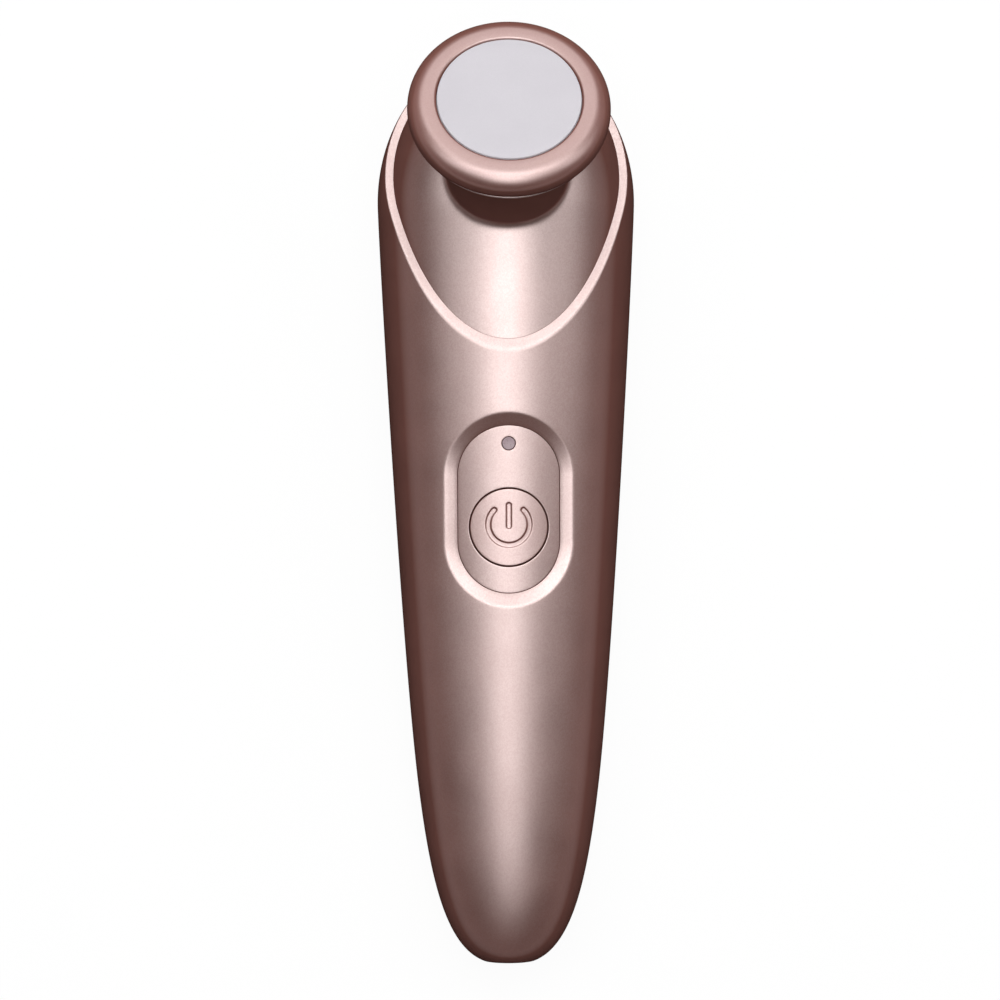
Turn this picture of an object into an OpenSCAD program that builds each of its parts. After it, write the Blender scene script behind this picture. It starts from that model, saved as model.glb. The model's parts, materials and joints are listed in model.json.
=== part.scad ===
// Handheld plasma facial wand, lying on its back on a flat land.
// Origin: centre line of the rest land, under the control panel.
// +X to the right, +Y towards the head, +Z out of the front.

/* [Body] */
// Height of the body axis over the rest plane, at the origin
axis_height = 14.5; // [13.8:0.1:15]
// Climb of the body axis towards the head, in degrees
axis_climb = 4.4; // [3.8:0.1:5]
// Half width at the shoulders
shoulder_half = 22.9; // [22.4:0.1:23.6]
// Distance of the shoulders from the origin
shoulder_at = 53; // [51:0.5:54.5]
// Length of the dome past the shoulders
dome_length = 27.5; // [26.5:0.5:29]
// Half width at the waist of the grip
waist_half = 16.2; // [15.8:0.1:17]
// Distance of the waist from the origin, tailwards
waist_at = 52; // [50:0.5:54]
// Taper at the waist, half width lost per millimetre
waist_taper = 0.12; // [0.11:0.005:0.13]
// Half width of the flat tail end
tail_half = 4.6; // [4.5:0.1:5.2]
// Distance of the tail end from the origin
tail_at = 83.6; // [82.6:0.2:85]
// Front height of a section over its half width
front_ratio = 0.75; // [0.72:0.01:0.8]
// Back height of a section over its half width
back_ratio = 0.74; // [0.72:0.01:0.78]
// Wall of the shells
wall = 2; // [1.8:0.1:2.2]
// Half of the seam between the front and rear shells
seam = 0.05; // [0.03:0.01:0.1]

/* [Collar] */
// Tilt of the collar cut from the rest plane, in degrees
collar_angle = 16; // [14.5:0.5:17.5]
// Where the collar cut crosses the front: distance along Y
collar_at = 26.5; // [25:0.5:28]
// Where the collar cut crosses the front: height
collar_height = 32.8; // [32.4:0.1:33.2]
// Step from the shell down to the neck cover, at the sides
rim_side = 1.4; // [1.2:0.1:1.6]
// Step from the shell down to the neck cover, at the front
rim_front = 0.8; // [0.6:0.1:1]
// Length of the neck cover's skirt inside the shells
skirt = 1.5; // [1:0.25:2]
// Wall of the neck cover
cover_wall = 1.5; // [1.3:0.1:1.7]

/* [Head] */
// Centre of the head's face: distance along Y
head_at = 68.7; // [68:0.1:69.5]
// Centre of the head's face: height
head_height = 52; // [51:0.5:54]
// Tilt of the head's face towards the tip, in degrees
head_tilt = 30; // [28:0.5:32]
// Outer radius of the ring
ring_radius = 17.5; // [17:0.1:18.5]
// Thickness of the ring
ring_thick = 6.3; // [6:0.1:6.8]
// Rounding of the ring's outer edges
ring_round = 2.9; // [2.4:0.1:3.1]
// Radius of the opening that shows the disc
window_radius = 12.5; // [12.2:0.1:12.7]
// Thickness of the ring's front lip
lip_thick = 0.6; // [0.5:0.1:0.8]
// Radius of the ceramic disc
disc_radius = 13.15; // [13:0.05:13.3]
// Thickness of the ceramic disc
disc_thick = 1.5; // [1.2:0.1:1.8]
// Depth of the disc's face under the ring's face
disc_sunk = 0.1; // [0:0.05:0.3]
// Radius of the cup's lip behind the ring
cup_radius = 16.1; // [15.8:0.1:16.6]
// Half width of the neck, across
neck_half = 10.6; // [10.4:0.1:11.2]
// Depth of the neck's section over its width
neck_squash = 0.87; // [0.85:0.01:0.9]

/* [Control panel] */
// Centre of the panel from the origin, tailwards
panel_at = 0.7; // [0.3:0.1:1.2]
// Radius of the panel's ends
panel_radius = 9; // [8.8:0.1:9.4]
// Distance between the centres of the panel's ends
panel_span = 11.8; // [11.2:0.1:12.4]
// Width of the sloped wall round the panel
panel_slope = 2.4; // [2:0.05:2.8]
// Depth of the panel under the body surface
panel_depth = 1.3; // [1.1:0.1:1.5]
// Thickness of the panel plate
plate_thick = 1.15; // [1:0.05:1.3]
// Radius of the power button
button_radius = 6.85; // [6.5:0.05:7]
// Gap round the power button
button_gap = 0.2; // [0.15:0.05:0.3]
// Centre of the power button from the origin, tailwards
button_at = 3.9; // [3.5:0.1:4.3]
// Travel of the power button
button_travel = 0.35; // [0.25:0.05:0.4]
// Radius of the light dot
dot_radius = 1.15; // [1:0.05:1.3]
// Distance of the light dot from the origin, headwards
dot_at = 11; // [10.6:0.1:11.4]
// Outer radius of the power symbol's arc
symbol_radius = 4.25; // [3.9:0.05:4.4]
// Width of the power symbol's lines
symbol_line = 1.2; // [1:0.05:1.3]
// Depth of the power symbol
symbol_depth = 0.25; // [0.15:0.05:0.3]

/* [Electronics] */
// Radius of the battery cell
cell_radius = 7; // [6.6:0.1:7.2]
// Length of the battery cell
cell_length = 48.5; // [46:0.5:49]
// Width of the main circuit board
board_width = 24; // [23:0.5:24.4]
// Length of the main circuit board
board_length = 44.5; // [43.5:0.5:45]
// Thickness of the circuit boards
board_thick = 1.2; // [1:0.1:1.6]
// Height of the main board's upper face over the body axis
board_level = 3; // [2.8:0.1:3.2]
// Width of the charging socket
socket_width = 7.4; // [7:0.1:7.6]
// Height of the charging socket
socket_height = 2.6; // [2.4:0.1:2.8]
// Depth of the charging socket
socket_depth = 5.6; // [5:0.1:6]

/* [Hidden] */

$fn = 64;
far = 200;
fit = 0.1;
slip = 0.05;

// Outline of the body: two curves from the tail to the shoulders, then the dome.
// Handles are distances from the curves' ends.

tail_handle = [2.6, 6.8];
waist_handle_back = 17;
waist_handle = 25;
shoulder_handle = 5;

tail_curve = [
    [-tail_at, tail_half],
    [-tail_at, tail_half] + tail_handle,
    [-waist_at - waist_handle_back, waist_half - waist_handle_back * waist_taper],
    [-waist_at, waist_half]
];
grip_curve = [
    [-waist_at, waist_half],
    [-waist_at + waist_handle, waist_half + waist_handle * waist_taper],
    [shoulder_at - shoulder_handle, shoulder_half],
    [shoulder_at, shoulder_half]
];

function curve_point(c, t) =
    pow(1 - t, 3) * c[0] + 3 * pow(1 - t, 2) * t * c[1] + 3 * (1 - t) * t * t * c[2] + pow(t, 3) * c[3];

function curve_slope(c, t) =
    3 * pow(1 - t, 2) * (c[1] - c[0]) + 6 * (1 - t) * t * (c[2] - c[1]) + 3 * t * t * (c[3] - c[2]);

// A point of a curve, moved squarely inwards
function curve_inset(c, t, inset) =
    let (slope = curve_slope(c, t) / norm(curve_slope(c, t)))
    curve_point(c, t) + inset * [slope[1], -slope[0]];

// A point of the dome at an angle from the shoulders, moved squarely inwards
function dome_inset(angle, inset) =
    let (
        edge = [dome_length * sin(angle), shoulder_half * cos(angle)],
        square = [edge[0] / pow(dome_length, 2), edge[1] / pow(shoulder_half, 2)]
    )
    [shoulder_at, 0] + edge - inset * square / norm(square);

tail_steps = 12;
grip_steps = 14;
dome_steps = 15;

// Station and half width along the body, inset from the surface
function outline(inset) =
    let (
        run = concat(
            [for (i = [0:tail_steps - 1]) curve_inset(tail_curve, i / tail_steps, inset)],
            [for (i = [0:grip_steps - 1]) curve_inset(grip_curve, i / grip_steps, inset)],
            [for (i = [0:dome_steps - 1]) dome_inset(90 * i / dome_steps, inset)]
        ),
        kept = [for (p = run) if (p[0] > -tail_at + inset + 0.2) p]
    )
    concat(
        [[-tail_at + inset, inset == 0 ? tail_half : kept[0][1] - 0.5]],
        kept,
        [[shoulder_at + dome_length - inset, 0], [-tail_at + inset, 0]]
    );

stations = [for (p = outline(0)) if (p[1] > 0) p];
function half_width(station) = lookup(station, stations);

// Height of the front surface over the body axis
function front_level(x, station) =
    front_ratio * sqrt(max(0, pow(half_width(station), 2) - x * x));

// Depth of the back surface under the body axis
function back_level(x, station) =
    -back_ratio * sqrt(max(0, pow(half_width(station), 2) - x * x));

// Places the body's own frame: stations along Y, the seam plane at Z = 0
module in_body() {
    translate([0, 0, axis_height])
        rotate([axis_climb, 0, 0])
            children();
}

module in_head() {
    translate([0, head_at, head_height])
        rotate([-head_tilt, 0, 0])
            children();
}

module half_body(inset, depth, ratio) {
    squash = (ratio * shoulder_half - depth) / (shoulder_half - inset);
    scale([1, 1, squash])
        rotate([90, 0, 0])
            rotate_extrude(angle = 180)
                polygon([for (p = outline(inset)) [p[1], -p[0]]]);
}

module front_half(inset, depth) {
    in_body()
        half_body(inset, depth, front_ratio);
}

module rear_half(inset, depth) {
    intersection() {
        in_body()
            mirror([0, 0, 1])
                half_body(inset, depth, back_ratio);
        translate([-far / 2, -far / 2, depth])
            cube(far);
    }
}

// The whole body, inset at the sides and by a depth at the front and back
module body(inset, depth) {
    front_half(inset, depth);
    rear_half(inset, depth);
}

// Everything past the collar cut, lifted off it
module past_collar(lift) {
    translate([0, collar_at, collar_height])
        rotate([-collar_angle, 0, 0])
            translate([-far / 2, -far / 2, lift])
                cube(far);
}

module slab(low, high) {
    in_body()
        translate([-far / 2, -far / 2, low])
            cube([far, far, high - low]);
}

// Fastenings

screw_shank = 1;
screw_head = 1.9;
screw_head_high = 1.6;
thread_gap = 0.03;
case_boss = 3.3;
head_seat = -4;
thread_length = 6;
grip_screws = [[-15.3, 22], [15.3, 22], [-12.6, -24], [12.6, -24]];
cover_screws = [[-14.6, 50], [14.6, 50]];

module at_each(places) {
    for (p = places)
        in_body()
            translate([p[0], p[1], 0])
                children();
}

board_screw_shank = 0.8;
board_screw_head = 1.5;
board_screw_head_high = 1;
board_boss = 2;
board_start = -12.5;
board_end = board_start + board_length;
board_under = board_level - board_thick;
board_screw_in = 3;
board_screw_at = [for (side = [-10, 10]) for (station = [board_start + board_screw_in, board_end - board_screw_in]) [side, station]];

// The control panel

panel_skirt = 1.6;
bed_level = 9.6;
flange_radius = 7.9;
flange_thick = 0.9;

module pill(radius, low, high) {
    translate([0, -panel_at, low]) {
        for (side = [-1, 1])
            translate([0, side * panel_span / 2, 0])
                cylinder(r = radius, h = high - low);
        translate([-radius, -panel_span / 2, 0])
            cube([2 * radius, panel_span, high - low]);
    }
}

pill_steps = 16;
recess_overrun = 0.3;

function pill_outline(radius) = [
    for (side = [1, -1])
        for (i = [0:pill_steps])
            let (angle = (side > 0 ? 0 : 180) + 180 * i / pill_steps)
            [radius * cos(angle), -panel_at + side * panel_span / 2 + radius * sin(angle)]
];

// The recess round the panel: its sloped wall follows the body surface and runs on a
// little inside the panel's outline, where the panel's own seat takes over
module recess_cutter() {
    inner = pill_outline(panel_radius - recess_overrun);
    outer = pill_outline(panel_radius + panel_slope);
    wide = pill_outline(panel_radius + panel_slope * 1.6);
    count = len(inner);
    low = panel_depth * (1 + recess_overrun / panel_slope);
    rings = [
        [for (p = inner) [p[0], p[1], bed_level + 0.2]],
        [for (p = inner) [p[0], p[1], front_level(p[0], p[1]) - low]],
        [for (p = outer) [p[0], p[1], front_level(p[0], p[1])]],
        [for (p = wide) [p[0], p[1], front_level(p[0], p[1]) + panel_depth * 0.6]],
        [for (p = wide) [p[0], p[1], front_level(0, shoulder_at) + 2]]
    ];
    last = (len(rings) - 1) * count;
    in_body()
        polyhedron(
            points = [for (r = rings) for (p = r) p],
            faces = concat(
                [[for (i = [0:count - 1]) i]],
                [for (k = [0:len(rings) - 2]) for (i = [0:count - 1])
                    for (half = [0, 1])
                        let (a = k * count + i, b = k * count + (i + 1) % count)
                        half == 0 ? [a, a + count, b] : [b, a + count, b + count]],
                [[for (i = [0:count - 1]) last + count - 1 - i]]
            )
        );
}

module front_shell() {
    color([0.74, 0.58, 0.55])
        difference() {
            union() {
                difference() {
                    front_half(0, 0);
                    body(wall, wall);
                    past_collar(0);
                }
                intersection() {
                    in_body()
                        pill(panel_radius + panel_skirt, bed_level, far / 4);
                    front_half(wall / 2, wall / 2);
                }
                intersection() {
                    union() {
                        at_each(grip_screws)
                            cylinder(r = case_boss, h = far / 4);
                        at_each(board_screw_at)
                            translate([0, 0, board_level])
                                cylinder(r = board_boss, h = far / 4);
                    }
                    front_half(wall / 2, wall / 2);
                }
            }
            slab(-seam, seam);
            difference() {
                union() {
                    recess_cutter();
                    in_body()
                        pill(panel_radius + slip, bed_level + 0.1, far / 4);
                }
                front_half(panel_depth + plate_thick + slip, panel_depth + plate_thick + slip);
            }
            in_body()
                translate([0, -button_at, bed_level - 1])
                    cylinder(r = button_radius + button_gap + slip, h = far / 4);
            in_body()
                translate([0, dot_at, bed_level - 1])
                    cylinder(r = dot_radius + slip, h = far / 4);
            at_each(grip_screws)
                translate([0, 0, -1])
                    cylinder(r = screw_shank + thread_gap, h = thread_length + 2);
            at_each(board_screw_at)
                translate([0, 0, board_level - 1])
                    cylinder(r = board_screw_shank + thread_gap, h = thread_length);
            socket_opening();
        }
}

// The tail socket, centred on the seam

socket_reach = 0.3;
socket_clear = 0.15;

module socket_opening() {
    in_body()
        translate([-socket_width / 2 - socket_clear, -tail_at - 1, -socket_height / 2 - socket_clear])
            cube([socket_width + 2 * socket_clear, socket_depth + 2, socket_height + 2 * socket_clear]);
}

// Cradles that carry the battery, the module and the charge board

cell_level = -0.5;
cell_front = -14;
cradle = 2;
cradles_at = [cell_front - 12, cell_front - cell_length + 8];
module_width = 22;
module_length = 24;
module_bottom = -10;
module_top = 3;
board_to_module = 2;
module_from = board_end + board_to_module;
module_cradle_in = 3;
module_cradles_at = [module_from + module_cradle_in, module_from + module_length - module_cradle_in - cradle];
charge_board_width = 10;
charge_board_top = -socket_height / 2 - 0.02;
charge_board_from = -tail_at + 2.8;
cell_to_charge_board = 5.5;
charge_board_to = cell_front - cell_length - cell_to_charge_board;
charge_board_corner = 2.4;
charge_screw_in = 2.5;
charge_screw_at = [0, charge_board_to - charge_screw_in];
charge_screw_depth = 2.5;
charge_boss = 2.2;

module cross_ribs(places, top) {
    for (station = places)
        intersection() {
            in_body()
                translate([-far / 2, station, -far / 2])
                    cube([far, cradle, far / 2 + top]);
            rear_half(wall / 2, wall / 2);
        }
}

module rear_shell() {
    color([0.70, 0.54, 0.51])
        difference() {
            union() {
                difference() {
                    rear_half(0, 0);
                    body(wall, wall);
                    past_collar(0);
                }
                cross_ribs(cradles_at, cell_level);
                cross_ribs(module_cradles_at, module_bottom);
                intersection() {
                    union() {
                        at_each(concat(grip_screws, cover_screws))
                            translate([0, 0, -far / 4])
                                cylinder(r = case_boss, h = far / 4);
                        at_each([charge_screw_at])
                            translate([0, 0, -far / 4])
                                cylinder(r = charge_boss, h = far / 4 + charge_board_top - board_thick);
                    }
                    rear_half(wall / 2, wall / 2);
                }
            }
            slab(-seam, seam);
            in_body()
                translate([0, cell_front + 1, cell_level])
                    rotate([90, 0, 0])
                        cylinder(r = cell_radius + fit, h = cell_length + 2);
            at_each(concat(grip_screws, cover_screws)) {
                translate([0, 0, head_seat - 1])
                    cylinder(r = screw_shank + 0.15, h = far / 4);
                translate([0, 0, -far / 4])
                    cylinder(r = screw_head + 0.25, h = far / 4 + head_seat);
            }
            at_each([charge_screw_at])
                translate([0, 0, charge_board_top - board_thick - charge_screw_depth])
                    cylinder(r = board_screw_shank + thread_gap, h = 2 * charge_screw_depth);
            socket_opening();
        }
}

// The neck cover: the recessed bib, the dome and the neck that carries the head

neck_top = -10;
neck_wall = 1.6;
neck_plate = 4;
lead_hole = 5;
cup_screw_circle = 7;
cup_screw_turns = [90, 210, 330];
cup_screw_shank = 0.8;
cup_screw_head = 1.5;
cup_screw_length = 4.8;

module neck_section(half, low, high) {
    scale([1, neck_squash, 1])
        translate([0, 0, low])
            cylinder(r = half, h = high - low);
}

module cup_screw_places() {
    for (turn = cup_screw_turns)
        rotate([0, 0, turn])
            translate([cup_screw_circle, 0, 0])
                children();
}

// The skirt that runs inside the shells, cut clear of their bosses
module cover_skirt() {
    difference() {
        intersection() {
            body(wall + fit, wall + fit);
            past_collar(-skirt);
        }
        at_each(grip_screws)
            cylinder(r = case_boss + fit, h = far / 4);
        at_each(board_screw_at)
            cylinder(r = board_boss + fit, h = far / 4);
    }
}

module neck_cover() {
    inner = wall + fit + cover_wall;
    color([0.80, 0.66, 0.63])
        difference() {
            union() {
                difference() {
                    union() {
                        intersection() {
                            body(rim_side, rim_front);
                            past_collar(seam);
                        }
                        cover_skirt();
                        in_head()
                            neck_section(neck_half, -far / 6, neck_top);
                    }
                    body(inner, inner);
                    in_head()
                        neck_section(neck_half - neck_wall, -far / 5, neck_top - neck_plate);
                }
                intersection() {
                    at_each(cover_screws)
                        translate([0, 0, seam])
                            cylinder(r = case_boss, h = far / 4);
                    body(wall + fit + cover_wall / 2, wall + fit + cover_wall / 2);
                }
            }
            at_each(cover_screws)
                translate([0, 0, -1])
                    cylinder(r = screw_shank + thread_gap, h = thread_length + 2);
            in_head()
                translate([0, 0, neck_top - neck_plate - 1])
                    cylinder(r = lead_hole, h = neck_plate + 2);
            in_head()
                cup_screw_places()
                    translate([0, 0, neck_top - neck_plate - 1])
                        cylinder(r = cup_screw_shank + thread_gap, h = neck_plate + 2);
        }
}

// The head

cup_lip_top = -ring_thick - 0.2;
cup_lip = 0.8;
cup_floor = cup_lip_top - 0.8;
cup_spigot = 14.1;
cup_bore = 13.2;
carrier_circle = 11;
carrier_screw_turns = [30, 150, 270];
carrier_boss = 1.9;
gasket_thick = 1;
disc_back = -lip_thick - slip - disc_thick;
carrier_flange_top = disc_back - gasket_thick;
carrier_flange = 1.6;
carrier_body = 4.6;
carrier_bore = 2.6;
carrier_bottom = -9.2;
plate_radius = 10.5;
electrode_thick = 0.5;

module carrier_screw_places() {
    for (turn = carrier_screw_turns)
        rotate([0, 0, turn])
            translate([carrier_circle, 0, 0])
                children();
}

module head_ring() {
    inner_edge = window_radius;
    arc_centre = ring_radius - ring_round;
    color([0.78, 0.60, 0.56])
        in_head()
            rotate_extrude($fn = 96)
                difference() {
                    union() {
                        translate([inner_edge, -ring_thick])
                            square([arc_centre - inner_edge, ring_thick]);
                        translate([inner_edge, -ring_thick + ring_round])
                            square([ring_radius - inner_edge, ring_thick - 2 * ring_round]);
                        for (level = [-ring_round, -ring_thick + ring_round])
                            translate([arc_centre, level])
                                circle(r = ring_round);
                    }
                    translate([0, carrier_flange_top])
                        square([disc_radius + fit, -carrier_flange_top - lip_thick]);
                    translate([0, -ring_thick - 1])
                        square([cup_spigot + fit, ring_thick + 1 + carrier_flange_top - 0.2]);
                    translate([0, -ring_thick])
                        square([disc_radius + fit, ring_thick - lip_thick]);
                    polygon([[inner_edge - 1, 1], [inner_edge - 1, -lip_thick],
                        [inner_edge + 0.05, -lip_thick], [inner_edge + 0.6, 1]]);
                }
}

module head_cup() {
    color([0.80, 0.64, 0.60])
        in_head()
            difference() {
                union() {
                    translate([0, 0, cup_floor])
                        cylinder(r = cup_spigot, h = carrier_flange_top - carrier_flange - 0.4 - cup_floor);
                    translate([0, 0, cup_lip_top - cup_lip])
                        cylinder(r = cup_radius, h = cup_lip);
                    translate([0, 0, neck_top + slip])
                        cylinder(r1 = neck_half + 0.6, r2 = cup_radius, h = cup_lip_top - cup_lip - neck_top - slip);
                }
                difference() {
                    translate([0, 0, cup_floor])
                        cylinder(r = cup_bore, h = 10);
                    carrier_screw_places()
                        translate([0, 0, cup_floor - 1])
                            cylinder(r = carrier_boss, h = carrier_flange_top - carrier_flange + 1 - cup_floor);
                }
                translate([0, 0, neck_top - 1])
                    cylinder(r = carrier_body + fit, h = 5);
                carrier_screw_places()
                    translate([0, 0, cup_floor - 0.4])
                        cylinder(r = cup_screw_shank + thread_gap, h = 10);
                cup_screw_places()
                    translate([0, 0, neck_top - 1])
                        cylinder(r = cup_screw_shank + 0.15, h = 5);
            }
}

// The disc: its shoulder lies under the ring's lip, and its face fills the window
module plasma_disc() {
    color([0.86, 0.85, 0.86])
        in_head()
            translate([0, 0, disc_back]) {
                cylinder(r = disc_radius, h = disc_thick, $fn = 96);
                cylinder(r = window_radius - fit, h = -disc_back - disc_sunk, $fn = 96);
            }
}

module disc_gasket() {
    color([0.25, 0.25, 0.27])
        in_head()
            translate([0, 0, carrier_flange_top])
                difference() {
                    cylinder(r = disc_radius, h = gasket_thick);
                    translate([0, 0, -1])
                        cylinder(r = plate_radius + 0.6, h = gasket_thick + 2);
                }
}

module electrode_plate() {
    color([0.80, 0.62, 0.30])
        in_head()
            translate([0, 0, disc_back - electrode_thick])
                cylinder(r = plate_radius, h = electrode_thick);
}

module electrode_carrier() {
    color([0.92, 0.92, 0.90])
        in_head()
            difference() {
                union() {
                    translate([0, 0, carrier_flange_top - carrier_flange])
                        cylinder(r = disc_radius, h = carrier_flange);
                    translate([0, 0, carrier_flange_top - carrier_flange])
                        cylinder(r = plate_radius, h = disc_back - electrode_thick - carrier_flange_top + carrier_flange);
                    translate([0, 0, carrier_bottom])
                        cylinder(r = carrier_body, h = carrier_flange_top - carrier_bottom);
                }
                translate([0, 0, carrier_bottom + 1])
                    cylinder(r = carrier_bore, h = 20);
                translate([0, 0, carrier_bottom - 1])
                    cylinder(r = terminal_radius + 0.05, h = 4);
                carrier_screw_places() {
                    translate([0, 0, -15])
                        cylinder(r = cup_screw_shank + 0.15, h = 20);
                    translate([0, 0, carrier_flange_top - 0.9])
                        cylinder(r = cup_screw_head + 0.15, h = 10);
                }
            }
}

terminal_radius = 1;
terminal_flange = 2.4;
terminal_flange_thick = 0.5;
terminal_tip = -11.5;
spring_radius = 1.9;
spring_wire = 0.5;
spring_turns = 5;
spring_sides = 6;
spring_steps = 14;

module hv_terminal() {
    color([0.82, 0.66, 0.32])
        in_head() {
            translate([0, 0, carrier_bottom + 1])
                cylinder(r = terminal_flange, h = terminal_flange_thick);
            translate([0, 0, terminal_tip])
                cylinder(r = terminal_radius, h = carrier_bottom + 1 - terminal_tip);
        }
}

// A tube swept along a route: rings of points joined by triangles

function unit(v) = v / norm(v);

function ring_of(centre, along, radius, sides) =
    let (
        guide = abs(unit(along)[0]) < 0.9 ? [1, 0, 0] : [0, 1, 0],
        u = unit(cross(along, guide)),
        v = unit(cross(along, u))
    )
    [for (i = [0:sides - 1]) centre + radius * (cos(360 * i / sides) * u + sin(360 * i / sides) * v)];

module tube(route, radius, sides) {
    last = len(route) - 1;
    points = [
        for (k = [0:last])
            for (p = ring_of(route[k], route[min(k + 1, last)] - route[max(k - 1, 0)], radius, sides)) p
    ];
    polyhedron(
        points = points,
        faces = concat(
            [[for (i = [0:sides - 1]) sides - 1 - i]],
            [for (k = [0:last - 1]) for (i = [0:sides - 1]) for (half = [0, 1])
                let (a = k * sides + i, b = k * sides + (i + 1) % sides)
                half == 0 ? [a, b, a + sides] : [b, b + sides, a + sides]],
            [[for (i = [0:sides - 1]) last * sides + i]]
        )
    );
}

// A smooth route through a bend: start, two handles and end
function bend(c, steps) = [for (i = [0:steps]) curve_point(c, i / steps)];

module electrode_spring() {
    low = carrier_bottom + 1 + terminal_flange_thick + spring_wire / 2;
    high = disc_back - electrode_thick - spring_wire / 2;
    count = spring_turns * spring_steps;
    color([0.75, 0.76, 0.78])
        in_head()
            tube(
                [for (i = [0:count])
                    let (angle = 360 * i / spring_steps)
                    [spring_radius * cos(angle), spring_radius * sin(angle), low + (high - low) * i / count]],
                spring_wire / 2, spring_sides
            );
}

lead_radius = 0.9;
lead_gap = 0.1;

module hv_lead() {
    // The lead runs from the terminal's tip to the top of the module
    tip = [0, head_at + terminal_tip * sin(head_tilt), head_height + terminal_tip * cos(head_tilt)];
    down = [0, -sin(head_tilt), -cos(head_tilt)];
    station = module_from + module_length / 2;
    foot = [0,
        station * cos(axis_climb) - module_top * sin(axis_climb),
        axis_height + station * sin(axis_climb) + module_top * cos(axis_climb)];
    rise = [0, -sin(axis_climb), cos(axis_climb)];
    color([0.85, 0.20, 0.18])
        tube(bend([tip + lead_gap * down, tip + 9 * down, foot + 8 * rise, foot + lead_gap * rise], 14), lead_radius, 8);
}

module hv_module() {
    bevel = 1;
    color([0.16, 0.16, 0.18])
        in_body()
            translate([-module_width / 2, module_from + module_length, module_bottom])
                rotate([90, 0, 0])
                    linear_extrude(module_length)
                        polygon([
                            [0, 0], [module_width, 0],
                            [module_width, module_top - module_bottom - bevel],
                            [module_width - bevel, module_top - module_bottom],
                            [bevel, module_top - module_bottom],
                            [0, module_top - module_bottom - bevel]
                        ]);
}

// Panel pieces

module control_panel() {
    color([0.82, 0.67, 0.64])
        difference() {
            intersection() {
                front_half(panel_depth, panel_depth);
                in_body()
                    pill(panel_radius, bed_level, far / 4);
            }
            front_half(panel_depth + plate_thick, panel_depth + plate_thick);
            in_body()
                translate([0, -button_at, 0])
                    cylinder(r = button_radius + button_gap, h = far / 4);
            in_body()
                translate([0, dot_at, 0])
                    cylinder(r = dot_radius + slip, h = far / 4);
        }
}

switch_width = 6;
switch_high = 3.5;
plunger_radius = 1.75;
plunger_rise = 0.9;
plunger_sunk = 1.2;
stem_radius = 1.6;

module power_symbol() {
    difference() {
        cylinder(r = symbol_radius, h = far / 4);
        translate([0, 0, -1])
            cylinder(r = symbol_radius - symbol_line, h = far / 4 + 2);
        translate([0, 0, -1])
            linear_extrude(far / 4 + 2)
                polygon([[0, 0], [-far / 10, far / 10], [far / 10, far / 10]]);
    }
    translate([-symbol_line / 2, -0.9, 0])
        cube([symbol_line, symbol_radius + 0.7, far / 4]);
}

module power_button() {
    plunger_top = board_level + switch_high + plunger_rise;
    color([0.86, 0.72, 0.67])
        difference() {
            union() {
                intersection() {
                    front_half(panel_depth, panel_depth);
                    in_body()
                        translate([0, -button_at, bed_level - slip - flange_thick])
                            cylinder(r = button_radius, h = far / 4);
                }
                in_body()
                    translate([0, -button_at, bed_level - slip - flange_thick])
                        cylinder(r = flange_radius, h = flange_thick);
                in_body()
                    translate([0, -button_at, plunger_top + slip])
                        cylinder(r = stem_radius, h = bed_level - plunger_top - 0.2);
            }
            difference() {
                in_body()
                    translate([0, -button_at + 0.5, bed_level])
                        power_symbol();
                front_half(panel_depth + symbol_depth, panel_depth + symbol_depth);
            }
        }
}

module switch_plunger() {
    color([0.15, 0.15, 0.16])
        in_body()
            translate([0, -button_at, board_level + switch_high - plunger_sunk])
                cylinder(r = plunger_radius, h = plunger_rise + plunger_sunk);
}

module tact_switch() {
    color([0.22, 0.22, 0.24])
        in_body()
            difference() {
                translate([-switch_width / 2, -button_at - switch_width / 2, board_level])
                    cube([switch_width, switch_width, switch_high]);
                translate([0, -button_at, board_level + switch_high - plunger_sunk - button_travel - 0.1])
                    cylinder(r = plunger_radius + slip, h = switch_high);
            }
}

led_high = 0.7;

module light_pipe() {
    color([0.62, 0.56, 0.58])
        intersection() {
            in_body()
                translate([0, dot_at, board_level + led_high + slip])
                    cylinder(r = dot_radius, h = far / 4);
            front_half(panel_depth, panel_depth);
        }
}

module indicator_led() {
    color([0.95, 0.95, 0.85])
        in_body()
            translate([-1, dot_at - 0.6, board_level])
                cube([2, 1.2, led_high]);
}

module main_board() {
    color([0.10, 0.40, 0.25])
        in_body()
            difference() {
                translate([-board_width / 2, board_start, board_level - board_thick])
                    cube([board_width, board_length, board_thick]);
                for (p = board_screw_at)
                    translate([p[0], p[1], 0])
                        cylinder(r = board_screw_shank + 0.15, h = far / 4);
            }
}

// Chips on the two faces of the board: place, size and height of each
top_chips = [
    [-7, 4, 5, 5, 0.9],
    [6, board_end - 14, 4, 4, 0.9],
    [-5, board_end - 11, 6, 4, 2.2],
    [8, 5, 3, 2, 0.8],
    [-9, 10, 2, 3, 0.8]
];
plug = [0, board_start + 4, 8, 4, 3.2];
bottom_chips = [
    [0, board_end - 8, 9, 7, 4.5],
    [-6, 10, 6, 6, 3],
    [6, 9, 7, 7, 1],
    plug
];

module board_chips() {
    color([0.12, 0.12, 0.13])
        in_body() {
            for (c = top_chips)
                translate([c[0] - c[2] / 2, c[1] - c[3] / 2, board_level])
                    cube([c[2], c[3], c[4]]);
            for (c = bottom_chips)
                translate([c[0] - c[2] / 2, c[1] - c[3] / 2, board_level - board_thick - c[4]])
                    cube([c[2], c[3], c[4]]);
        }
}

wire_radius = 0.6;
wire_sides = 8;

// Two wires, the same on both sides of the centre line
module wire_pair(route) {
    color([0.75, 0.15, 0.12])
        in_body()
            for (side = [-1, 1])
                tube([for (p = route) [side * p[0], p[1], p[2]]], wire_radius, wire_sides);
}

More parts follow.
